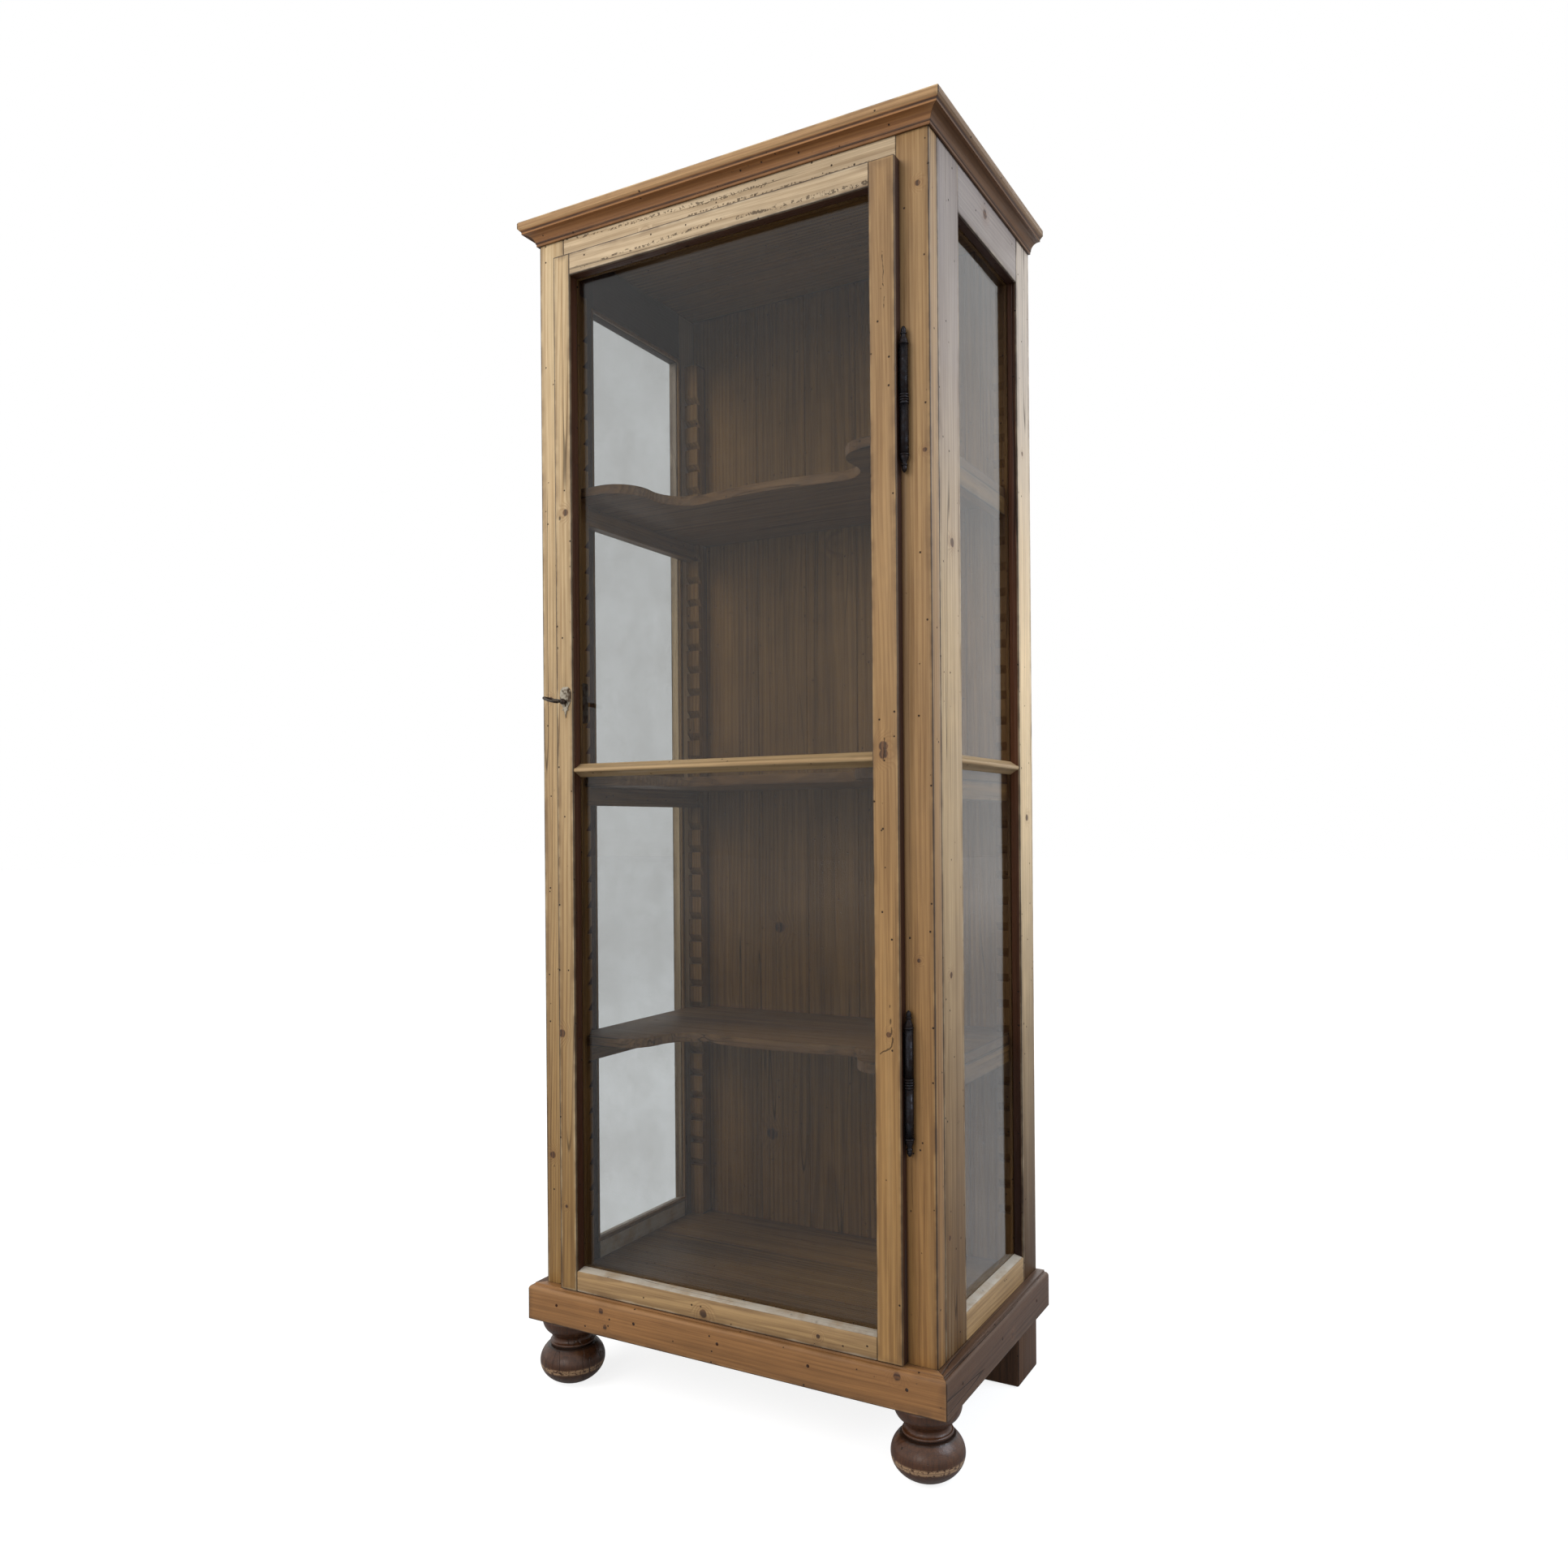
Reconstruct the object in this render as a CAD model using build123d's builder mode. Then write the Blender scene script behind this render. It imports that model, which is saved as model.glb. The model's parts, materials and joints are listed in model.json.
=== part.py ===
from build123d import *

import os
from math import asin, cos, degrees, radians, sin

# A glazed pine display cabinet on two turned bun feet and two block feet.
# Millimetres, Z up, the front towards -Y, X to the right as one faces the door.
# The origin is the centre of the overall footprint at floor level, key included.

# Carcass
carcass_width = 694.0
carcass_depth = 420.0
carcass_base = 132.0
carcass_top = 1885.0
face_stile_width = 50.0
face_thickness = 28.0
frieze_height = 62.0
bottom_rail_height = 40.0

# Glazed side frames
side_thickness = 24.0
side_front_stile_width = 78.5
side_rear_stile_width = 63.0
side_rail_height = 92.0
side_sill_height = 70.0

# Glazing, in the door and in both sides
side_pane_setback = 16.0
door_pane_setback = 18.0
pane_thickness = 3.0
pane_gap = 1.0
rebate_width = 7.0
bead_thickness = 5.0
sill_rise = 4.0
bar_height = 1001.0
bar_half_height = 11.0
bar_fin_half = 3.0
bar_nose_radius = 3.5
bar_nose_setback = 1.0

# Tenons and their mortises
tenon_length = 22.0
tenon_thickness = 8.0
tenon_shoulder = 7.0

# Door, lapped over the face frame
door_lap = 6.0
door_proud = 18.0
door_face_gap = 0.5
door_tongue_gap = 1.5
lock_stile_width = 33.0
hinge_stile_width = 40.0
door_top_rail_height = 35.0
door_bottom_rail_height = 32.0

# Plinth, corner blocks and block feet
plinth_drop = 26.0
plinth_rise = 32.0
plinth_thickness = 22.0
plinth_round = 6.0
plinth_step_width = 1.5
plinth_step_height = 3.0
corner_block_size = 78.0
rear_foot_size = 90.0
rear_foot_chamfer = 3.0

# Turned bun feet
foot_inset = 28.0
foot_ball_radius = 52.5
foot_ball_half_height = 38.5
foot_ball_middle = 35.0
foot_ball_top = 61.0
foot_ring_radius = 36.5
foot_groove_depth = 2.5
foot_groove_height = 1.5
foot_ring_height = 5.0
foot_neck_radius = 31.0
foot_neck_height = 10.0
foot_fillet_radius = 34.5
foot_fillet_height = 2.5
foot_collar_radius = 48.5
foot_collar_height = 4.0
foot_spigot_radius = 14.0
foot_spigot_length = 24.0

# Cornice
cornice_drop = 21.0
cornice_out = 26.0
cornice_bead = 4.0
cornice_shelf = 1.0
cornice_cove = 13.0
cornice_fillet_out = 21.0
cornice_fillet_height = 3.5
cornice_arris = 4.0

# Boards
floor_thickness = 18.0
floor_front_board = 97.0
floor_back_boards = 2
board_gap = 0.5
bearer_width = 20.0
top_thickness = 16.0
top_board_count = 3
plank_thickness = 14.0
plank_rear_gap = 2.0
plank_first_width = 143.0
plank_width = 104.0
plank_count = 6
plank_chamfer = 1.5

# Toothed racks, the cleats that drop into them, and the shelves
rack_size = 28.0
rack_below_frieze = 33.0
notch_pitch = 42.7
notch_depth = 12.0
notch_mouth = 14.0
notches_below = 16
notches_above = 18
cleat_seat = 946.0
cleat_width = 20.0
cleat_height = 30.0
cleat_gap = 0.3
shelf_steps = {"lower": -10, "middle": 0, "upper": 11}
shelf_ear_deep = 40.0
shelf_ear_shallow = 18.0
shelf_thickness = 16.0
shelf_gap = 0.3
shelf_side_gap = 1.5
shelf_ear_half = 240.0
shelf_recess_half = 132.0
shelf_recess_y = 146.0
shelf_bulge = 12.0

# Lift-off barrel hinges with turned finials
lower_hinge_height = 553.0
upper_hinge_height = 1494.0
barrel_radius = 6.3
barrel_length = 75.0
hinge_ring_radius = 7.2
hinge_ring_height = 3.0
hinge_ring_gap = 1.0
hinge_neck_radius = 5.8
hinge_half_gap = 0.4
hinge_clearance = 0.4
finial_vase_height = 11.0
finial_waist_radius = 3.3
finial_disc_radius = 4.6
finial_disc_height = 3.0
finial_tip_height = 9.0
finial_vase_tangents = ((0.5, 1.0), (-0.1, 1.0))
finial_tip_tangents = ((0.6, 1.0), (-1.0, 0.3))
leaf_thickness = 2.4
leaf_length = 62.0
leaf_foot = 8.0
leaf_pin_wall = 1.0
door_leaf_depth = 16.0
frame_leaf_depth = 15.0
pin_radius = 3.0
pin_running_gap = 0.06
pin_upper_length = 54.0
pin_lower_length = 56.0
pin_end_gap = 2.0

# Lock, bolt and strike plate
keyhole_from_edge = 19.0
keyhole_height = 1111.0
keyhole_gap = 0.3
case_width = 25.2
case_depth = 14.0
case_half_height = 32.0
case_wall = 1.5
case_side_gap = 0.3
bolt_below_key = 4.2
bolt_height = 8.3
bolt_front = 2.5
bolt_thickness = 7.0
bolt_gap = 0.3
bolt_travel = 8.0
bolt_notch_left = 1.2
bolt_notch_right = 9.2
bolt_notch_depth = 4.0
strike_thickness = 1.5
strike_width = 16.0
strike_height = 40.0
strike_clearance = 2.0

# Key and escutcheon
shank_radius = 2.8
collar_radius = 4.6
collar_width = 3.0
collar_from_door = 8.0
bit_length = 7.5
bit_thickness = 2.2
bit_depth = 8.0
bit_inset = 2.0
key_tip_gap = 1.4
key_rest_tilt = 22.0
key_reach = 50.0
bow_width = 24.0
bow_length = 28.0
bow_rim = 5.5
bow_thickness = 3.4
bow_chamfer = 0.8
escutcheon_half_width = 11.0
escutcheon_top_half = 5.0
escutcheon_above = 24.0
escutcheon_below = 26.0
escutcheon_shoulder = 9.0
escutcheon_waist = 2.5
escutcheon_belly = 2.0
escutcheon_thickness = 1.5

# Places that follow from those sizes
half_width = carcass_width / 2
front_y = (door_proud + key_reach - carcass_depth) / 2
cabinet_top = carcass_top + top_thickness
frieze_bottom = carcass_top - frieze_height
bottom_rail_top = carcass_base + bottom_rail_height
cornice_bottom = carcass_top - cornice_drop
plinth_bottom = carcass_base - plinth_drop
plinth_top = carcass_base + plinth_rise
rack_top = frieze_bottom - rack_below_frieze
inner_x = half_width - side_thickness
opening_x = half_width - face_stile_width
planks_depth = carcass_depth - plank_rear_gap - plank_thickness
door_half = opening_x + door_lap
door_bottom = bottom_rail_top - door_lap
door_top = frieze_bottom + door_lap
door_thickness = door_pane_setback + pane_thickness + bead_thickness
tongue_x = opening_x - door_tongue_gap
hinge_offset = hinge_ring_radius + hinge_clearance
hinge_x = door_half + hinge_offset
keyhole_x = keyhole_from_edge - door_half
hinge_heights = (lower_hinge_height, upper_hinge_height)
shelf_ears = {"lower": shelf_ear_deep, "middle": shelf_ear_deep, "upper": shelf_ear_shallow}

# Planes of work: X runs along a frame, Y inwards through its thickness, Z up
face_plane = Plane((0, front_y, 0), x_dir=(1, 0, 0), z_dir=(0, 0, 1))
door_plane = Plane((0, front_y - door_proud, 0), x_dir=(1, 0, 0), z_dir=(0, 0, 1))
side_plane = Plane((half_width, front_y, 0), x_dir=(0, 1, 0), z_dir=(0, 0, 1))

os.makedirs("parts", exist_ok=True)


def keep(name, piece):
    """Label a finished piece and write it to its own file."""
    piece.part.label = name
    export_step(piece.part, f"parts/{name}.step")


def block(x, y, z, mode=Mode.ADD):
    """A block between the (low, high) pairs x, y and z of the current part's plane."""
    with Locations((sum(x) / 2, sum(y) / 2, sum(z) / 2)):
        Box(x[1] - x[0], y[1] - y[0], z[1] - z[0], mode=mode)


def section(plane, x):
    """The plane across a frame at x, on which a sketch reads (depth inwards, height)."""
    return Plane(plane.from_local_coords((x, 0, 0)), x_dir=plane.y_dir, z_dir=plane.x_dir)


def left_copy(piece):
    """The same piece on the other side of the cabinet."""
    with BuildPart() as copy:
        mirror(piece.part, about=Plane.YZ)
    return copy


def tenon_depths(thickness):
    """The depth range of a tenon in the middle of this thickness."""
    return ((thickness - tenon_thickness) / 2, (thickness + tenon_thickness) / 2)


def tenons(x, depths, z, mode=Mode.ADD):
    """The tenons of a rail with shoulders at x and height range z, or their mortises."""
    tenon_z = (z[0] + tenon_shoulder, z[1] - tenon_shoulder)
    for tenon_x in ((x[0] - tenon_length, x[0]), (x[1], x[1] + tenon_length)):
        block(tenon_x, depths, tenon_z, mode)


# Lock places, shared by the door, the bolt and the strike plate; depths count from the door's face
case_x = (case_side_gap - tongue_x, case_side_gap - tongue_x + case_width)
case_depths = (door_thickness, door_thickness + case_depth)
case_z = (keyhole_height - case_half_height, keyhole_height + case_half_height)
bolt_x = (case_x[0], case_x[1] - case_wall - bolt_gap)
bolt_depths = (door_thickness + bolt_front, door_thickness + bolt_front + bolt_thickness)
bolt_z = (keyhole_height - bolt_below_key - bolt_height, keyhole_height - bolt_below_key)
bolt_hole_depths = (bolt_depths[0] - bolt_gap, bolt_depths[1] + bolt_gap)
bolt_hole_z = (bolt_z[0] - bolt_gap, bolt_z[1] + bolt_gap)

# Face frame: two stiles, the frieze and the bottom rail
face_depth = (0, face_thickness)
face_sight_x = (-opening_x, opening_x)
face_rails = {"frieze_rail": (frieze_bottom, carcass_top), "bottom_rail": (carcass_base, bottom_rail_top)}
for rail_name, rail_z in face_rails.items():
    with BuildPart(face_plane) as face_rail:
        block(face_sight_x, face_depth, rail_z)
        tenons(face_sight_x, tenon_depths(face_thickness), rail_z)
    keep(rail_name, face_rail)

strike_hole_y = (bolt_hole_depths[0] - door_proud, bolt_hole_depths[1] - door_proud)
strike_middle_y = sum(strike_hole_y) / 2
strike_middle_z = sum(bolt_hole_z) / 2
strike_x = (-opening_x - strike_thickness, -opening_x)
strike_y = (strike_middle_y - strike_width / 2, strike_middle_y + strike_width / 2)
strike_z = (strike_middle_z - strike_height / 2, strike_middle_z + strike_height / 2)
with BuildPart(face_plane) as face_stile_left:
    block((-half_width, -opening_x), face_depth, (carcass_base, carcass_top))
    for rail_z in face_rails.values():
        tenons(face_sight_x, tenon_depths(face_thickness), rail_z, Mode.SUBTRACT)
    block(strike_x, strike_y, strike_z, Mode.SUBTRACT)
    pocket_x = (bolt_x[0] - bolt_travel - strike_clearance, strike_x[0])
    block(pocket_x, strike_hole_y, bolt_hole_z, Mode.SUBTRACT)
keep("face_stile_left", face_stile_left)

with BuildPart(face_plane) as strike_plate:
    block(strike_x, strike_y, strike_z)
    block(strike_x, strike_hole_y, bolt_hole_z, Mode.SUBTRACT)
keep("strike_plate", strike_plate)

frame_leaf_x = (hinge_x - leaf_thickness / 2, hinge_x + leaf_thickness / 2)
with BuildPart(face_plane) as face_stile_right:
    block((opening_x, half_width), face_depth, (carcass_base, carcass_top))
    for rail_z in face_rails.values():
        tenons(face_sight_x, tenon_depths(face_thickness), rail_z, Mode.SUBTRACT)
    for hinge_z in hinge_heights:
        slot_z = (hinge_z - leaf_foot - leaf_length, hinge_z - leaf_foot)
        block(frame_leaf_x, (0, frame_leaf_depth), slot_z, Mode.SUBTRACT)
keep("face_stile_right", face_stile_right)


def glazing(sight_x, sight_z, setback, thickness):
    """The places that the rebates, panes, beads and bar of one glazed frame share."""
    return {
        "sight_x": sight_x,
        "setback": setback,
        "thickness": thickness,
        "rebate_x": (sight_x[0] - rebate_width, sight_x[1] + rebate_width),
        "rebate_z": (sight_z[0] + sill_rise - rebate_width, sight_z[1] + rebate_width),
    }


def cut_rebate(frame):
    """Cut the rebate that the glass and its beads lie in."""
    block(frame["rebate_x"], (frame["setback"], frame["thickness"]), frame["rebate_z"], Mode.SUBTRACT)


def pane_spans(frame):
    """The height ranges of the two lights, below and above the bar."""
    low, high = frame["rebate_z"]
    return {"lower": (low, bar_height - bar_fin_half), "upper": (bar_height + bar_fin_half, high)}


def sheet_of_glass(frame, span):
    """A pane against the shoulder of the rebate, with a small gap all round."""
    glass_x = (frame["rebate_x"][0] + pane_gap, frame["rebate_x"][1] - pane_gap)
    glass_z = (span[0] + pane_gap, span[1] - pane_gap)
    block(glass_x, (frame["setback"], frame["setback"] + pane_thickness), glass_z)


def glazing_beads(plane, frame):
    """Eight loose beads, four behind each pane."""
    depths = (frame["setback"] + pane_thickness, frame["thickness"])
    left, right = frame["rebate_x"]
    with BuildPart(plane) as piece:
        for low, high in pane_spans(frame).values():
            block((left, left + rebate_width), depths, (low, high))
            block((right - rebate_width, right), depths, (low, high))
            block((left + rebate_width, right - rebate_width), depths, (low, low + rebate_width))
            block((left + rebate_width, right - rebate_width), depths, (high - rebate_width, high))
    return piece


def glazing_bar(plane, frame):
    """The bar across the glass: a rounded nose, two slopes, and a fin between the panes."""
    nose_depth = bar_nose_setback + bar_nose_radius
    nose_top = (nose_depth, bar_height + bar_nose_radius)
    nose_bottom = (nose_depth, bar_height - bar_nose_radius)
    back_top = (frame["setback"], bar_height + bar_half_height)
    back_bottom = (frame["setback"], bar_height - bar_half_height)
    with BuildPart(plane) as piece:
        with BuildSketch(section(plane, frame["sight_x"][0])):
            with BuildLine():
                ThreePointArc(nose_top, (bar_nose_setback, bar_height), nose_bottom)
                Polyline(nose_bottom, back_bottom, back_top, nose_top)
            make_face()
        extrude(amount=frame["sight_x"][1] - frame["sight_x"][0])
        fin_z = (bar_height - bar_fin_half, bar_height + bar_fin_half)
        block(frame["rebate_x"], (frame["setback"], frame["thickness"]), fin_z)
    return piece


# Side frames, made on the right and mirrored to the left
side_sight_x = (face_thickness + side_front_stile_width, carcass_depth - side_rear_stile_width)
side_sight_z = (carcass_base + side_sill_height, carcass_top - side_rail_height)
side_depths = (0, side_thickness)
side_rail_z = (side_sight_z[1], carcass_top)
side_sill_z = (carcass_base, side_sight_z[0])
side_tenon_depths = tenon_depths(side_pane_setback)
side_frame = glazing(side_sight_x, side_sight_z, side_pane_setback, side_thickness)
side_stiles = {
    "front_stile": (face_thickness, side_sight_x[0]),
    "rear_stile": (side_sight_x[1], carcass_depth),
}
side_pieces = {}
for stile_name, stile_x in side_stiles.items():
    with BuildPart(side_plane) as side_stile:
        block(stile_x, side_depths, (carcass_base, carcass_top))
        tenons(side_sight_x, side_tenon_depths, side_rail_z, Mode.SUBTRACT)
        tenons(side_sight_x, side_tenon_depths, side_sill_z, Mode.SUBTRACT)
        cut_rebate(side_frame)
    side_pieces[stile_name] = side_stile

with BuildPart(side_plane) as side_top_rail:
    block(side_sight_x, side_depths, side_rail_z)
    tenons(side_sight_x, side_tenon_depths, side_rail_z)
    cut_rebate(side_frame)
side_pieces["top_rail"] = side_top_rail

with BuildPart(side_plane) as side_bottom_rail:
    with BuildSketch(section(side_plane, side_sight_x[0])):
        with BuildLine():
            Polyline(
                (0, side_sill_z[0]),
                (side_thickness, side_sill_z[0]),
                (side_thickness, side_frame["rebate_z"][0]),
                (side_pane_setback, side_frame["rebate_z"][0]),
                (side_pane_setback, side_sight_z[0] + sill_rise),
                (0, side_sight_z[0]),
                close=True,
            )
        make_face()
    extrude(amount=side_sight_x[1] - side_sight_x[0])
    tenons(side_sight_x, side_tenon_depths, side_sill_z)
side_pieces["bottom_rail"] = side_bottom_rail

with BuildPart(side_plane) as side_panes:
    for pane_span in pane_spans(side_frame).values():
        sheet_of_glass(side_frame, pane_span)
side_pieces["panes"] = side_panes
side_pieces["glazing_bar"] = glazing_bar(side_plane, side_frame)
side_pieces["glazing_beads"] = glazing_beads(side_plane, side_frame)

for piece_name, side_piece in side_pieces.items():
    keep(f"side_right_{piece_name}", side_piece)
    keep(f"side_left_{piece_name}", left_copy(side_piece))


# Cornice and plinth: mouldings round three sides, mitred at the two front corners
def cornice_section(plane):
    """The cornice: bead, hollow, fillet and a rounded fascia."""
    cove_z = cornice_bottom + cornice_bead
    cove_x = -cornice_bead - cornice_shelf - cornice_cove
    fillet_z = cove_z + cornice_cove
    fascia_z = fillet_z + cornice_fillet_height
    slope_z = fascia_z + cornice_out - cornice_fillet_out
    arris_x = cornice_arris - cornice_out
    arris_z = cabinet_top - cornice_arris
    with BuildSketch(plane) as outline:
        with BuildLine():
            Polyline((0, cabinet_top), (0, cornice_bottom), (-cornice_bead, cornice_bottom))
            Line((-cornice_bead, cornice_bottom), (-cornice_bead, cove_z))
            Line((-cornice_bead, cove_z), (cove_x + cornice_cove, cove_z))
            CenterArc((cove_x, cove_z), cornice_cove, 0, 90)
            Polyline((cove_x, fillet_z), (-cornice_fillet_out, fillet_z), (-cornice_fillet_out, fascia_z))
            Polyline((-cornice_fillet_out, fascia_z), (-cornice_out, slope_z), (-cornice_out, arris_z))
            CenterArc((arris_x, arris_z), cornice_arris, 90, 90)
            Line((arris_x, cabinet_top), (0, cabinet_top))
        make_face()
    return outline


def plinth_section(plane):
    """The plinth board, with a worn round arris and a small step above it."""
    step_z = plinth_top - plinth_step_height
    round_x = plinth_round - plinth_thickness
    round_z = step_z - plinth_round
    step_x = round_x + plinth_step_width
    with BuildSketch(plane) as outline:
        with BuildLine():
            Polyline((step_x, plinth_top), (0, plinth_top), (0, plinth_bottom))
            Polyline((0, plinth_bottom), (-plinth_thickness, plinth_bottom), (-plinth_thickness, round_z))
            CenterArc((round_x, round_z), plinth_round, 90, 90)
            Polyline((round_x, step_z), (step_x, step_z), (step_x, plinth_top))
        make_face()
    return outline


right_mitre = Plane((half_width, front_y, 0), z_dir=(1, 1, 0))
left_mitre = Plane((-half_width, front_y, 0), z_dir=(-1, 1, 0))
for moulding_name, moulding_section, reach in (
    ("cornice", cornice_section, cornice_out),
    ("plinth", plinth_section, plinth_thickness),
):
    front_end = half_width + reach
    with BuildPart() as front_moulding:
        extrude(moulding_section(section(face_plane, -front_end)).sketch, amount=2 * front_end)
        split(bisect_by=right_mitre, keep=Keep.BOTTOM)
        split(bisect_by=left_mitre, keep=Keep.BOTTOM)
    keep(f"{moulding_name}_front", front_moulding)
    with BuildPart() as side_moulding:
        extrude(moulding_section(section(side_plane, -reach)).sketch, amount=carcass_depth + reach)
        split(bisect_by=right_mitre, keep=Keep.TOP)
    keep(f"{moulding_name}_right", side_moulding)
    keep(f"{moulding_name}_left", left_copy(side_moulding))


def boards(low, high, edges, thickness_z):
    """Boards running left to right between x low and high, parted at the given depths."""
    for front, back in zip(edges, edges[1:]):
        block((low, high), (front, back - board_gap), thickness_z)


# Top, floor and back boards, with a shrinkage gap at every joint
top_edges = [index * (carcass_depth + board_gap) / top_board_count for index in range(top_board_count + 1)]
with BuildPart(face_plane) as top_boards:
    boards(-half_width, half_width, top_edges, (carcass_top, cabinet_top))
keep("top_boards", top_boards)

floor_z = (bottom_rail_top - floor_thickness, bottom_rail_top)
floor_joint = face_thickness + floor_front_board
floor_step = (planks_depth + board_gap - floor_joint) / floor_back_boards
floor_edges = [face_thickness]
floor_edges += [floor_joint + index * floor_step for index in range(floor_back_boards + 1)]
with BuildPart(face_plane) as floor_boards:
    boards(-inner_x, inner_x, floor_edges, floor_z)
keep("floor_boards", floor_boards)

with BuildPart(face_plane) as floor_bearers:
    for bearer_x in ((-inner_x, bearer_width - inner_x), (inner_x - bearer_width, inner_x)):
        block(bearer_x, (face_thickness, planks_depth), (carcass_base, floor_z[0]))
keep("floor_bearers", floor_bearers)

plank_edges = [-inner_x]
plank_edges += [plank_first_width - inner_x + index * plank_width for index in range(plank_count - 1)]
plank_edges += [inner_x + board_gap]
with BuildPart(face_plane) as back_planks:
    for plank_left, plank_right in zip(plank_edges, plank_edges[1:]):
        plank_x = (plank_left, plank_right - board_gap)
        block(plank_x, (planks_depth, planks_depth + plank_thickness), (carcass_base, carcass_top))
    chamfer(back_planks.edges().filter_by(Axis.Z).group_by(Axis.Y)[0], plank_chamfer)
keep("back_planks", back_planks)

# Base: corner blocks in front, block feet behind and a rail between those
base_z = (plinth_bottom, carcass_base)
foot_x = half_width - foot_inset
block_inner_x = half_width - corner_block_size
with BuildPart(face_plane) as corner_blocks:
    for block_x in ((-half_width, -block_inner_x), (block_inner_x, half_width)):
        block(block_x, (0, corner_block_size), base_z)
    with Locations((-foot_x, foot_inset, plinth_bottom), (foot_x, foot_inset, plinth_bottom)):
        Cylinder(
            foot_spigot_radius,
            foot_spigot_length,
            align=(Align.CENTER, Align.CENTER, Align.MIN),
            mode=Mode.SUBTRACT,
        )
keep("corner_blocks", corner_blocks)

rear_inner_x = half_width - rear_foot_size
with BuildPart(face_plane) as base_rail_back:
    block((-rear_inner_x, rear_inner_x), (planks_depth, carcass_depth), base_z)
keep("base_rail_back", base_rail_back)

with BuildPart(face_plane) as rear_foot_right:
    block((rear_inner_x, half_width), (carcass_depth - rear_foot_size, carcass_depth), (0, carcass_base))
    chamfer(rear_foot_right.faces().sort_by(Axis.Z)[0].edges(), rear_foot_chamfer)
keep("rear_foot_right", rear_foot_right)
keep("rear_foot_left", left_copy(rear_foot_right))

# Turned bun foot: ball, groove, ring, hollow neck, thin fillet, flared collar and spigot
ring_z = (foot_ball_top + foot_groove_height, foot_ball_top + foot_groove_height + foot_ring_height)
groove_radius = foot_ring_radius - foot_groove_depth
neck_z = ring_z[1] + foot_neck_height
fillet_z = neck_z + foot_fillet_height
collar_z = plinth_bottom - foot_collar_height
spigot_z = plinth_bottom + foot_spigot_length
ball_below = degrees(asin(foot_ball_middle / foot_ball_half_height))
ball_above = degrees(asin((foot_ball_top - foot_ball_middle) / foot_ball_half_height))
ball_centre = (0, foot_ball_middle)
foot_plane = Plane((foot_x, front_y + foot_inset, 0), x_dir=(1, 0, 0), z_dir=(0, -1, 0))
with BuildPart() as bun_foot_right:
    with BuildSketch(foot_plane):
        with BuildLine():
            ball = EllipticalCenterArc(
                ball_centre,
                foot_ball_radius,
                foot_ball_half_height,
                start_angle=-ball_below,
                arc_size=ball_below + ball_above,
            )
            Polyline(ball @ 1, (groove_radius, foot_ball_top), (groove_radius, ring_z[0]))
            ThreePointArc(
                (groove_radius, ring_z[0]), (foot_ring_radius, sum(ring_z) / 2), (groove_radius, ring_z[1])
            )
            ThreePointArc(
                (groove_radius, ring_z[1]),
                (foot_neck_radius, (ring_z[1] + neck_z) / 2),
                (groove_radius, neck_z),
            )
            Polyline(
                (groove_radius, neck_z), (foot_fillet_radius, neck_z), (foot_fillet_radius, fillet_z)
            )
            RadiusArc(
                (foot_fillet_radius, fillet_z),
                (foot_collar_radius, collar_z),
                -(collar_z - fillet_z + foot_collar_height),
            )
            Polyline(
                (foot_collar_radius, collar_z),
                (foot_collar_radius, plinth_bottom),
                (foot_spigot_radius, plinth_bottom),
                (foot_spigot_radius, spigot_z),
                (0, spigot_z),
                (0, 0),
                ball @ 0,
            )
        make_face()
    revolve(axis=Axis(foot_plane.origin, (0, 0, 1)))
keep("bun_foot_right", bun_foot_right)
keep("bun_foot_left", left_copy(bun_foot_right))

# Toothed racks in the four corners: each notch has a level seat under a sloping roof
rack_front = face_thickness + rack_size
rack_back = planks_depth - rack_size
seats = [cleat_seat + step * notch_pitch for step in range(-notches_below, notches_above + 1)]
with BuildPart(side_plane) as racks_right:
    for rack_face, inwards in ((rack_front, -1), (rack_back, 1)):
        rack_y = sorted((rack_face, rack_face + inwards * rack_size))
        block(rack_y, (side_thickness, side_thickness + rack_size), (bottom_rail_top, rack_top))
    with BuildSketch(Plane((inner_x, front_y, 0), x_dir=(0, 1, 0), z_dir=(1, 0, 0))):
        for rack_face, inwards in ((rack_front, -1), (rack_back, 1)):
            for seat in seats:
                with BuildLine():
                    Polyline(
                        (rack_face, seat),
                        (rack_face + inwards * notch_depth, seat),
                        (rack_face, seat + notch_mouth),
                        close=True,
                    )
                make_face()
    extrude(amount=-rack_size, mode=Mode.SUBTRACT)
keep("racks_right", racks_right)
keep("racks_left", left_copy(racks_right))

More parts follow.
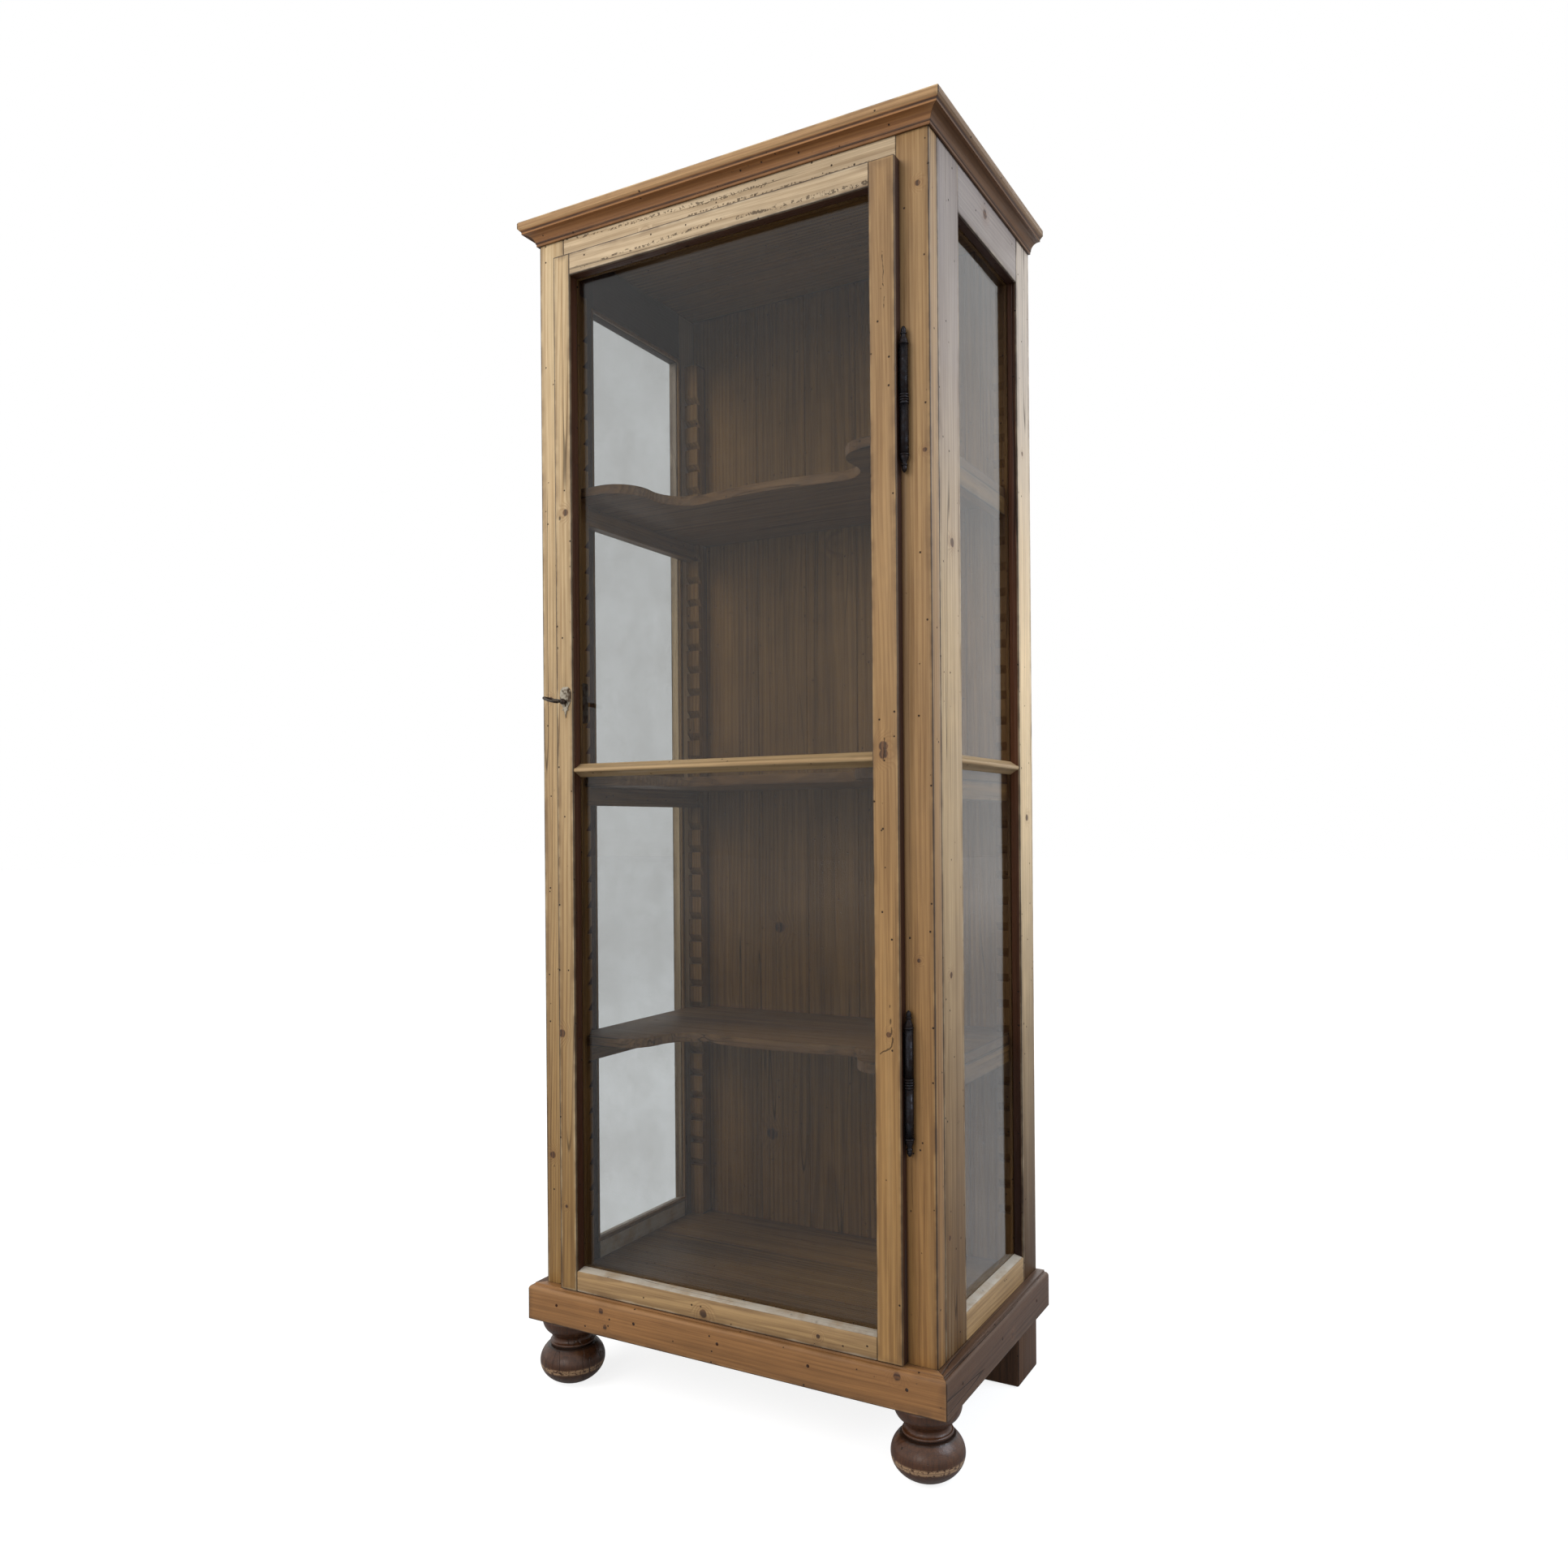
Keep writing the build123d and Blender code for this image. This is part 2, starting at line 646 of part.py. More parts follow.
# Cleats whose wedged ends drop into the notches, and the shelves that lie on them
nib_length = notch_depth - cleat_gap
nib_height = notch_mouth - cleat_gap * notch_mouth / notch_depth
shelf_side = inner_x - shelf_side_gap
shelf_corner = inner_x - rack_size - shelf_side_gap
shelf_back = planks_depth - shelf_side_gap
shelf_back_corner = rack_back - shelf_side_gap
shelf_front_corner = rack_front + shelf_side_gap
for shelf_name, steps in shelf_steps.items():
    seat = cleat_seat + steps * notch_pitch
    with BuildPart() as cleat_right:
        with BuildSketch(Plane((inner_x, front_y, 0), x_dir=(0, 1, 0), z_dir=(1, 0, 0))):
            with BuildLine():
                Polyline(
                    (rack_front - nib_length, seat),
                    (rack_front, seat + nib_height),
                    (rack_front, seat + cleat_height),
                    (rack_back, seat + cleat_height),
                    (rack_back, seat + nib_height),
                    (rack_back + nib_length, seat),
                    close=True,
                )
            make_face()
        extrude(amount=-cleat_width)
    with BuildPart() as shelf_cleats:
        add(cleat_right.part)
        mirror(cleat_right.part, about=Plane.YZ)
    keep(f"shelf_cleats_{shelf_name}", shelf_cleats)

    ear_y = shelf_ears[shelf_name]
    middle_x = (shelf_ear_half + shelf_recess_half) / 2
    middle_y = (ear_y + shelf_recess_y) / 2
    with BuildPart() as shelf:
        with BuildSketch(face_plane.offset(seat + cleat_height + shelf_gap)):
            with BuildLine() as front_edge:
                TangentArc((shelf_ear_half, ear_y), (middle_x, middle_y), tangent=(-1, 0))
                TangentArc(
                    (shelf_recess_half, shelf_recess_y), (middle_x, middle_y), tangent=(1, 0)
                )
                ThreePointArc(
                    (shelf_recess_half, shelf_recess_y),
                    (0, shelf_recess_y - shelf_bulge),
                    (-shelf_recess_half, shelf_recess_y),
                )
                Polyline(
                    (shelf_ear_half, ear_y),
                    (shelf_corner, ear_y),
                    (shelf_corner, shelf_front_corner),
                    (shelf_side, shelf_front_corner),
                    (shelf_side, shelf_back_corner),
                    (shelf_corner, shelf_back_corner),
                    (shelf_corner, shelf_back),
                    (0, shelf_back),
                )
                mirror(about=Plane.YZ)
            make_face()
        extrude(amount=shelf_thickness)
    keep(f"shelf_{shelf_name}", shelf)

# Door frame: the lip laps the face frame and the tongue goes into the opening
door_x = (-door_half, door_half)
door_z = (door_bottom, door_top)
lip_depths = (0, door_proud - door_face_gap)
tongue_depths = (lip_depths[1], door_thickness)
tongue_z = (bottom_rail_top + door_tongue_gap, frieze_bottom - door_tongue_gap)
door_sight_x = (lock_stile_width - door_half, door_half - hinge_stile_width)
door_sight_z = (door_bottom + door_bottom_rail_height, door_top - door_top_rail_height)
door_rail_z = (door_sight_z[1], door_top)
door_sill_z = (door_bottom, door_sight_z[0])
door_tenon_depths = tenon_depths(lip_depths[1])
door_frame = glazing(door_sight_x, door_sight_z, door_pane_setback, door_thickness)
keyhole_radius = shank_radius + keyhole_gap
keyhole_slot_half = bit_thickness / 2 + keyhole_gap


def cut_keyhole(depths):
    """Cut the keyhole, a round with a slot below it, between two depths from the door's face."""
    with Locations((keyhole_x, sum(depths) / 2, keyhole_height)):
        Cylinder(keyhole_radius, depths[1] - depths[0], rotation=(90, 0, 0), mode=Mode.SUBTRACT)
    slot_x = (keyhole_x - keyhole_slot_half, keyhole_x + keyhole_slot_half)
    slot_z = (keyhole_height - bit_length - keyhole_gap, keyhole_height)
    block(slot_x, depths, slot_z, Mode.SUBTRACT)


with BuildPart(door_plane) as door_lock_stile:
    block((door_x[0], door_sight_x[0]), lip_depths, door_z)
    block((-tongue_x, door_sight_x[0]), tongue_depths, tongue_z)
    tenons(door_sight_x, door_tenon_depths, door_rail_z, Mode.SUBTRACT)
    tenons(door_sight_x, door_tenon_depths, door_sill_z, Mode.SUBTRACT)
    cut_rebate(door_frame)
    cut_keyhole((0, door_thickness))
keep("door_lock_stile", door_lock_stile)

hinge_depth = door_proud - hinge_offset
door_leaf_depths = (hinge_depth - leaf_thickness / 2, hinge_depth + leaf_thickness / 2)
with BuildPart(door_plane) as door_hinge_stile:
    block((door_sight_x[1], door_x[1]), lip_depths, door_z)
    block((door_sight_x[1], tongue_x), tongue_depths, tongue_z)
    tenons(door_sight_x, door_tenon_depths, door_rail_z, Mode.SUBTRACT)
    tenons(door_sight_x, door_tenon_depths, door_sill_z, Mode.SUBTRACT)
    cut_rebate(door_frame)
    for hinge_z in hinge_heights:
        leaf_z = (hinge_z + leaf_foot, hinge_z + leaf_foot + leaf_length)
        block((door_half - door_leaf_depth, door_half), door_leaf_depths, leaf_z, Mode.SUBTRACT)
keep("door_hinge_stile", door_hinge_stile)

with BuildPart(door_plane) as door_top_rail:
    block(door_sight_x, lip_depths, door_rail_z)
    block(door_sight_x, tongue_depths, (door_rail_z[0], tongue_z[1]))
    tenons(door_sight_x, door_tenon_depths, door_rail_z)
    cut_rebate(door_frame)
keep("door_top_rail", door_top_rail)

with BuildPart(door_plane) as door_bottom_rail:
    with BuildSketch(section(door_plane, door_sight_x[0])):
        with BuildLine():
            Polyline(
                (0, door_bottom),
                (lip_depths[1], door_bottom),
                (lip_depths[1], tongue_z[0]),
                (door_thickness, tongue_z[0]),
                (door_thickness, door_frame["rebate_z"][0]),
                (door_pane_setback, door_frame["rebate_z"][0]),
                (door_pane_setback, door_sight_z[0] + sill_rise),
                (0, door_sight_z[0]),
                close=True,
            )
        make_face()
    extrude(amount=door_sight_x[1] - door_sight_x[0])
    tenons(door_sight_x, door_tenon_depths, door_sill_z)
keep("door_bottom_rail", door_bottom_rail)

for pane_name, pane_span in pane_spans(door_frame).items():
    with BuildPart(door_plane) as door_pane:
        sheet_of_glass(door_frame, pane_span)
    keep(f"door_pane_{pane_name}", door_pane)
keep("door_glazing_bar", glazing_bar(door_plane, door_frame))
keep("door_glazing_beads", glazing_beads(door_plane, door_frame))


# Hinges: the lower half with its pin stands on the frame, the door's half drops over the pin
def hinge_half(hinge_z, up, bore, bore_depth):
    """One turned half of a hinge, placed within the face plane; up is 1 or -1."""
    rings = (hinge_half_gap / 2, hinge_half_gap / 2 + hinge_ring_height + hinge_ring_gap, barrel_length)
    vase_z = barrel_length + hinge_ring_height + finial_vase_height
    disc_z = vase_z + finial_disc_height
    tip_z = disc_z + finial_tip_height
    barrel_foot = rings[1] + hinge_ring_height
    turned_plane = Plane((hinge_x, -hinge_offset, hinge_z), x_dir=(1, 0, 0), z_dir=(0, -up, 0))
    with BuildPart() as piece:
        with BuildSketch(turned_plane):
            with BuildLine():
                Polyline((0, bore_depth), (bore, bore_depth), (bore, rings[0]), (hinge_neck_radius, rings[0]))
                for ring_z in rings:
                    ThreePointArc(
                        (hinge_neck_radius, ring_z),
                        (hinge_ring_radius, ring_z + hinge_ring_height / 2),
                        (hinge_neck_radius, ring_z + hinge_ring_height),
                    )
                Line((hinge_neck_radius, rings[0] + hinge_ring_height), (hinge_neck_radius, rings[1]))
                Polyline(
                    (hinge_neck_radius, barrel_foot),
                    (barrel_radius, barrel_foot),
                    (barrel_radius, barrel_length),
                    (hinge_neck_radius, barrel_length),
                )
                Spline(
                    (hinge_neck_radius, barrel_length + hinge_ring_height),
                    (finial_waist_radius, vase_z),
                    tangents=finial_vase_tangents,
                )
                ThreePointArc(
                    (finial_waist_radius, vase_z),
                    (finial_disc_radius, (vase_z + disc_z) / 2),
                    (finial_waist_radius, disc_z),
                )
                Spline((finial_waist_radius, disc_z), (0, tip_z), tangents=finial_tip_tangents)
                Line((0, tip_z), (0, bore_depth))
            make_face()
        revolve(axis=Axis(turned_plane.origin, (0, 0, 1)))
    return piece


hinge_y = (-hinge_offset - leaf_thickness / 2, leaf_thickness / 2 - hinge_offset)
with BuildPart(face_plane) as hinge_door_halves:
    for hinge_z in hinge_heights:
        leaf_x = (door_half - door_leaf_depth, hinge_x - pin_radius - leaf_pin_wall)
        block(leaf_x, hinge_y, (hinge_z + leaf_foot, hinge_z + leaf_foot + leaf_length))
        bore_depth = pin_upper_length + pin_end_gap
        half = hinge_half(hinge_z, 1, pin_radius + pin_running_gap, bore_depth)
        add(half.part)
keep("hinge_door_halves", hinge_door_halves)

with BuildPart(face_plane) as hinge_frame_halves:
    for hinge_z in hinge_heights:
        leaf_y = (pin_radius + leaf_pin_wall - hinge_offset, frame_leaf_depth)
        block(frame_leaf_x, leaf_y, (hinge_z - leaf_foot - leaf_length, hinge_z - leaf_foot))
        half = hinge_half(hinge_z, -1, pin_radius, pin_lower_length)
        add(half.part)
keep("hinge_frame_halves", hinge_frame_halves)

with BuildPart(face_plane) as hinge_pins:
    for hinge_z in hinge_heights:
        with Locations((hinge_x, -hinge_offset, hinge_z + (pin_upper_length - pin_lower_length) / 2)):
            Cylinder(pin_radius, pin_upper_length + pin_lower_length)
keep("hinge_pins", hinge_pins)

# Lock case on the back of the stile, with room for the bit and a way out for the bolt
with BuildPart(door_plane) as lock_case:
    block(case_x, case_depths, case_z)
    chamfer(lock_case.faces().sort_by(Axis.Y)[-1].edges(), case_wall / 2)
    hollow_x = (case_x[0] + case_wall, case_x[1] - case_wall)
    hollow_depths = (case_depths[0], case_depths[1] - case_wall)
    hollow_z = (bolt_hole_z[0], keyhole_height + bit_length + case_wall)
    block(hollow_x, hollow_depths, hollow_z, Mode.SUBTRACT)
    block((case_x[0], hollow_x[0]), bolt_hole_depths, bolt_hole_z, Mode.SUBTRACT)
keep("lock_case", lock_case)

with BuildPart(door_plane) as lock_bolt:
    block(bolt_x, bolt_depths, bolt_z)
    notch_x = (keyhole_x - bolt_notch_left, keyhole_x + bolt_notch_right)
    block(notch_x, bolt_depths, (bolt_z[1] - bolt_notch_depth, bolt_z[1]), Mode.SUBTRACT)
keep("lock_bolt", lock_bolt)

# Key: pierced bow, collar, shank and bit, at rest with its bow a little off level
key_plane = Plane(
    (keyhole_x, front_y - door_proud, keyhole_height),
    x_dir=(cos(radians(key_rest_tilt)), 0, -sin(radians(key_rest_tilt))),
    z_dir=(0, 1, 0),
)
bow_plane = Plane(key_plane.origin, x_dir=key_plane.x_dir, z_dir=key_plane.y_dir)
key_end = door_thickness + case_depth - case_wall - key_tip_gap
bit_start = door_thickness + bit_inset
shank_start = bow_length - bow_rim / 2 - key_reach
with BuildPart(key_plane) as key:
    with BuildSketch(bow_plane):
        with Locations((0, key_reach - bow_length / 2)):
            Ellipse(bow_width / 2, bow_length / 2)
            Ellipse(bow_width / 2 - bow_rim, bow_length / 2 - bow_rim, mode=Mode.SUBTRACT)
    extrude(amount=bow_thickness / 2, both=True)
    chamfer(key.edges(), bow_chamfer)
    with Locations((0, 0, (shank_start + key_end) / 2)):
        Cylinder(shank_radius, key_end - shank_start)
    with Locations((0, 0, -collar_from_door)):
        Cylinder(collar_radius, collar_width)
    block((0, bit_length), (-bit_thickness / 2, bit_thickness / 2), (bit_start, bit_start + bit_depth))
keep("key", key)

# Escutcheon: a shaped plate with a waist above and a long pointed tip below
with BuildPart(door_plane) as escutcheon:
    with BuildSketch(Plane(key_plane.origin, x_dir=(1, 0, 0), z_dir=(0, -1, 0))):
        with BuildLine():
            top_end = (escutcheon_top_half, escutcheon_above)
            shoulder = (escutcheon_half_width, escutcheon_shoulder)
            belly = (escutcheon_half_width, 0)
            Line((0, escutcheon_above), top_end)
            SagittaArc(top_end, shoulder, escutcheon_waist)
            Line(shoulder, belly)
            SagittaArc(belly, (0, -escutcheon_below), -escutcheon_belly)
            mirror(about=Plane.YZ)
        make_face()
    extrude(amount=escutcheon_thickness)
    cut_keyhole((-escutcheon_thickness, 0))
keep("escutcheon", escutcheon)
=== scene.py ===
"""An old glazed pine display cabinet: its wood, glass and ironwork, dressed over the fixed frame."""

import json
import logging
import math
from dataclasses import dataclass
from enum import Enum

import bmesh
import bpy
from mathutils import Matrix, Vector

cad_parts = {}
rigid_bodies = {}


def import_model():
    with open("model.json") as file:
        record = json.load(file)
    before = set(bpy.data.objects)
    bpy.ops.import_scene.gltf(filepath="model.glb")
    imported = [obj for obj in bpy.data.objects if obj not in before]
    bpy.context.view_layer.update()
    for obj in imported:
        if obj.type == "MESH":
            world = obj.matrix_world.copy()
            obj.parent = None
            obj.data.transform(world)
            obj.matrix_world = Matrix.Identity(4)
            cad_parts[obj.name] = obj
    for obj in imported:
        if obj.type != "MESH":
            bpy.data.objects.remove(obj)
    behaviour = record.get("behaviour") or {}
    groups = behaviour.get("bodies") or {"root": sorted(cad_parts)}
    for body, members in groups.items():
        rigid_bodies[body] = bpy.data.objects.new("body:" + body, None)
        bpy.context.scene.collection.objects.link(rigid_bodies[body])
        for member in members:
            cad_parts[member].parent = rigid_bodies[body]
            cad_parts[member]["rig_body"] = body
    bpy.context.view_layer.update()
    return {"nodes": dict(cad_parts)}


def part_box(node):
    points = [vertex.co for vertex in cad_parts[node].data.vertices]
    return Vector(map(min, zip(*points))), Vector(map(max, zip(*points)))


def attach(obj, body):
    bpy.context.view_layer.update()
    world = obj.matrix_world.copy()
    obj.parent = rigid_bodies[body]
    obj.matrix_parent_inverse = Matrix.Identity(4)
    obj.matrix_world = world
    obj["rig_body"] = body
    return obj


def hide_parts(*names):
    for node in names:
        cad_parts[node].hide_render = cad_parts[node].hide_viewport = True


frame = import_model()

LOG = logging.getLogger("cabinet")

Socket = bpy.types.NodeSocket
Triple = tuple[float, float, float]
Ease = tuple[float, float, float, float]

# How far each face of the cabinet lies from its upright middle line, in metres, and the height of its top.
DOOR_FACE = 0.194
FRAME_FACE = 0.176
SIDE_FACE = 0.347
CROWN_FACE = 0.202
CROWN_FLANK = 0.373
PLINTH_FACE = 0.198
PLINTH_FLANK = 0.369
BACK_FACE = 0.242
BACK_INSIDE = 0.228
TOP_FACE = 1.901

# How far behind a board the heart of its log lies, and how much further for the next board.
HEART_DEPTH = 0.055
HEART_STEP = 0.013

# The arris of thin pieces, and the angle in degrees that turned pieces are shaded smooth up to.
FINE_ARRIS = 0.0006
TURNED_SMOOTH = 32.0


class Grain(Enum):
    """The way a board's grain runs, with the turn that lays it along the pattern's Z."""

    UPRIGHT = (0.0, 0.0, 0.0)
    ACROSS = (0.0, -math.pi / 2, 0.0)
    DEEP = (math.pi / 2, 0.0, 0.0)


class Cut(Enum):
    """How a board was sawn: where the heart of the log lies from the board's middle, in metres."""

    QUARTER = 0.16
    RIFT = 0.09
    PLAIN = 0.035


class Show(Enum):
    """The face of a piece that is seen first, as a unit normal and the face's offset along it."""

    NONE = ((0.0, 0.0, 0.0), 0.0)
    DOOR = ((0.0, 1.0, 0.0), DOOR_FACE)
    FRONT = ((0.0, 1.0, 0.0), FRAME_FACE)
    RIGHT = ((-1.0, 0.0, 0.0), SIDE_FACE)
    LEFT = ((1.0, 0.0, 0.0), SIDE_FACE)
    CROWN_FRONT = ((0.0, 1.0, 0.0), CROWN_FACE)
    CROWN_RIGHT = ((-1.0, 0.0, 0.0), CROWN_FLANK)
    CROWN_LEFT = ((1.0, 0.0, 0.0), CROWN_FLANK)


def tint(red: int, green: int, blue: int) -> tuple[float, float, float, float]:
    """Turn a colour of 0 to 255 as seen into the linear colour that a shader takes.

    Args:
        red: Red, 0 to 255.
        green: Green, 0 to 255.
        blue: Blue, 0 to 255.

    Returns:
        The linear colour with full alpha.
    """
    parts = []
    for value in (red, green, blue):
        share = value / 255
        parts.append(share / 12.92 if share <= 0.04045 else ((share + 0.055) / 1.055) ** 2.4)
    return (parts[0], parts[1], parts[2], 1.0)


class Graph:
    """A node tree under construction, with short calls for the nodes that the finishes use."""

    def __init__(self, tree: bpy.types.NodeTree) -> None:
        """Start on an emptied tree."""
        self.tree = tree
        tree.nodes.clear()

    def put(self, socket: Socket, value: object) -> None:
        """Give an input its value, or link it where the value is another node's output."""
        if isinstance(value, bpy.types.NodeSocket):
            self.tree.links.new(value, socket)
        elif value is not None:
            socket.default_value = value

    def node(self, kind: str, inputs: dict[str | int, object] | None = None, **settings: object) -> bpy.types.Node:
        """Add a node.

        Args:
            kind: The node's type name.
            inputs: Values or outputs by input name or number.
            **settings: The node's own properties.

        Returns:
            The new node.
        """
        made = self.tree.nodes.new(kind)
        for key, value in settings.items():
            setattr(made, key, value)
        for key, value in (inputs or {}).items():
            self.put(made.inputs[key], value)
        return made

    def result(self, kind: str, inputs: dict[str | int, object] | None = None, **settings: object) -> Socket:
        """Add a node, and take its first output."""
        return self.node(kind, inputs, **settings).outputs[0]

    def math(self, operation: str, first: object, second: object = None, third: object = None) -> Socket:
        """One scalar operation, and its result."""
        made = self.node("ShaderNodeMath", operation=operation)
        for socket, value in zip(made.inputs, (first, second, third)):
            self.put(socket, value)
        return made.outputs[0]

    def plus(self, first: object, second: object) -> Socket:
        """The sum of two numbers."""
        return self.math("ADD", first, second)

    def minus(self, first: object, second: object) -> Socket:
        """The first number less the second."""
        return self.math("SUBTRACT", first, second)

    def times(self, first: object, second: object) -> Socket:
        """The product of two numbers."""
        return self.math("MULTIPLY", first, second)

    def scaled(self, value: object, factor: object, base: object) -> Socket:
        """A number times a factor, added to a base."""
        return self.math("MULTIPLY_ADD", value, factor, base)

    def least(self, first: object, second: object) -> Socket:
        """The smaller of two numbers."""
        return self.math("MINIMUM", first, second)

    def most(self, first: object, second: object) -> Socket:
        """The larger of two numbers."""
        return self.math("MAXIMUM", first, second)

    def gap(self, first: object, second: object) -> Socket:
        """How far two numbers lie apart."""
        return self.math("ABSOLUTE", self.minus(first, second))

    def parts(self, vector: object) -> tuple[Socket, ...]:
        """The X, Y and Z of a vector."""
        return tuple(self.node("ShaderNodeSeparateXYZ", {0: vector}).outputs)

    def vector(self, operation: str, first: object, second: object = None) -> Socket:
        """One vector operation, and its result, a number for a distance, length or dot product."""
        made = self.node("ShaderNodeVectorMath", operation=operation)
        self.put(made.inputs[0], first)
        self.put(made.inputs[1], second)
        scalar = operation in ("DISTANCE", "LENGTH", "DOT_PRODUCT")
        return made.outputs["Value" if scalar else "Vector"]

    def span(self, value: object, low: float, high: float, to_low: float = 0.0, to_high: float = 1.0) -> Socket:
        """Ease a value from one range into another, held at both ends."""
        sockets = {"Value": value, "From Min": low, "From Max": high, "To Min": to_low, "To Max": to_high}
        return self.result("ShaderNodeMapRange", sockets, interpolation_type="SMOOTHSTEP")

    def noise(self, place: object, scale: float, detail: float = 2.0, rough: float = 0.5) -> Socket:
        """Soft noise of 0 to 1 at a place."""
        sockets = {"Vector": place, "Scale": scale, "Detail": detail, "Roughness": rough}
        return self.result("ShaderNodeTexNoise", sockets)

    def blend(self, share: object, under: object, over: object, how: str = "MIX") -> Socket:
        """Lay one colour over another by a share of 0 to 1."""
        made = self.node("ShaderNodeMix", data_type="RGBA", blend_type=how)
        for index, value in ((0, share), (6, under), (7, over)):
            self.put(made.inputs[index], value)
        return made.outputs[2]

    def stretch(self, place: Socket, across: float, along: float) -> Socket:
        """Scale the grain's coordinates, so that a pattern draws out along the grain."""
        return self.vector("MULTIPLY", place, (across, across, along))


def open_material(name: str) -> tuple[bpy.types.Material, Graph, Socket]:
    """Open a new material on an empty tree.

    Args:
        name: The name of the material.

    Returns:
        The material, its tree, and the object coordinates in it.
    """
    made = bpy.data.materials.new(name)
    made.use_nodes = True
    graph = Graph(made.node_tree)
    return made, graph, graph.node("ShaderNodeTexCoord").outputs["Object"]


def poured(shape: bmesh.types.BMesh, name: str) -> bpy.types.Mesh:
    """Turn a shape into a mesh, and let go of the shape.

    Args:
        shape: The shape.
        name: The name of the mesh.

    Returns:
        The mesh.
    """
    mesh = bpy.data.meshes.new(name)
    shape.to_mesh(mesh)
    shape.free()
    return mesh


def placed(name: str, data: bpy.types.ID) -> bpy.types.Object:
    """Put a new object into the scene.

    Args:
        name: The name of the object.
        data: Its mesh, lamp or camera.

    Returns:
        The object.
    """
    made = bpy.data.objects.new(name, data)
    bpy.context.scene.collection.objects.link(made)
    return made


class PinePattern:
    """The pattern of old pine: rings, streaks, knots, cracks, holes and worn arrises, with painted shade low down and
    on reveals, and a painted reflection near the top.

    Lengths are in metres. An ease gives two values and the shares that they turn into.
    """

    VECTORS = ("Place", "Offset", "Turn", "Heart", "Low Corner", "High Corner", "Face Normal")
    FLOATS = (
        "Face Offset", "Ring Spacing", "Ring Strength", "Knot", "Knot Core", "Hole Share", "Reveal Share",
        "Fade Low", "Fade High", "Crest Share", "Split",
    )
    # The lower colours are partly painted shade; the reveal colour is painted shade, and the colour near the top a
    # painted reflection.
    COLOURS = ("Early Wood", "Late Wood", "Early Wood Below", "Late Wood Below", "Painted Reflection", "Reveal Shade", "Wear")

    RING_WARP = 0.034
    RING_RIPPLE = 0.0022
    RING_TAPER = 0.011
    KNOT_BEND = 0.016
    LATE_RISE: Ease = (0.2, 0.88, 0.0, 1.0)
    LATE_FALL: Ease = (0.88, 1.0, 1.0, 0.0)
    LATE_PATCHES: Ease = (0.3, 0.7, 0.45, 1.0)
    LATE_SHARE = 0.62

    CRACK_LINE: Ease = (0.0005, 0.0065, 1.0, 0.0)
    CRACK_PLACES: Ease = (0.5, 0.58, 0.0, 1.0)
    CRACK_SHARE = 0.75
    HOLE_SCALE = 62.0
    HOLE_RIM: Ease = (0.065, 0.115, 1.0, 0.0)
    DENT_SHARE = 0.42
    DENT_RIM: Ease = (0.02, 0.06, 0.85, 0.0)
    PIT_SHARE = 0.92

    DARK_STREAKS: Ease = (0.4, 0.75, 0.0, 0.7)
    DARK_BANDS: Ease = (0.5, 0.75, 0.0, 0.5)
    PALE_BANDS: Ease = (0.45, 0.25, 0.0, 0.35)
    # The heights over which the painted reflection of the sky comes in.
    PAINTED_REFLECTION_HEIGHTS: Ease = (1.25, 1.9, 0.0, 1.0)

    RUB_SWAY = 0.009
    RUBBED_ARRIS: Ease = (0.0006, 0.0042, 0.45, 0.0)
    GRIME_SWAY = -0.03
    GRIME_REACH: Ease = (0.0, 0.014, 0.5, 0.0)
    GRIME_PATCHES: Ease = (0.35, 0.65, 0.35, 1.0)
    SEAM_SWAY = -0.0016
    SEAM_REACH: Ease = (0.0, 0.0017, 0.85, 0.0)
    # How far behind the show face the painted shade of the reveals comes in.
    REVEAL_SHADE_DEPTH: Ease = (0.0012, 0.0034, 0.0, 1.0)
    REAR_FACES: Ease = (0.2395, 0.2435, 1.0, 0.15)

    KNOT_RINGS: Ease = (0.2, 0.8, 0.0, 1.0)
    KNOT_SHARE = 0.9
    HALO_SHARE = 0.22

    GRIME_COLOUR = (84, 60, 40)
    SEAM_COLOUR = (42, 28, 20)
    KNOT_COLOUR = (96, 62, 38)
    KNOT_RING_COLOUR = (52, 32, 22)
    HALO_COLOUR = (124, 84, 50)
    PIT_COLOUR = (34, 23, 17)

    def __init__(self) -> None:
        """Open the group with its sockets, lay the place along the grain, and set up the noises."""
        tree = bpy.data.node_groups.new("old_pine_pattern", "ShaderNodeTree")
        self.graph = Graph(tree)
        for names, kind in ((self.VECTORS, "Vector"), (self.FLOATS, "Float"), (self.COLOURS, "Color")):
            for name in names:
                tree.interface.new_socket(name=name, in_out="INPUT", socket_type=f"NodeSocket{kind}")
        for name, kind in (("Colour", "Color"), ("Roughness", "Float"), ("Height", "Float")):
            tree.interface.new_socket(name=name, in_out="OUTPUT", socket_type=f"NodeSocket{kind}")
        self.given = self.graph.node("NodeGroupInput").outputs
        self.place = self.given["Place"]
        turn = {"Vector": self.place, "Location": self.given["Offset"], "Rotation": self.given["Turn"]}
        self.turned = self.graph.result("ShaderNodeMapping", turn)
        self.streak = self.grained(240.0, 4.0, 4.0, 0.65)
        self.band = self.grained(38.0, 0.9, 3.0, 0.6)
        self.fibre = self.grained(950.0, 16.0, 2.0)
        self.mottle = self.graph.noise(self.place, 4.2, 4.0, 0.6)
        self.blotch = self.graph.noise(self.place, 21.0, 3.0, 0.6)

    def grained(self, across: float, along: float, detail: float, rough: float = 0.5) -> Socket:
        """Noise of 0 to 1 that draws out along the grain."""
        return self.graph.noise(self.graph.stretch(self.turned, across, along), 1.0, detail, rough)

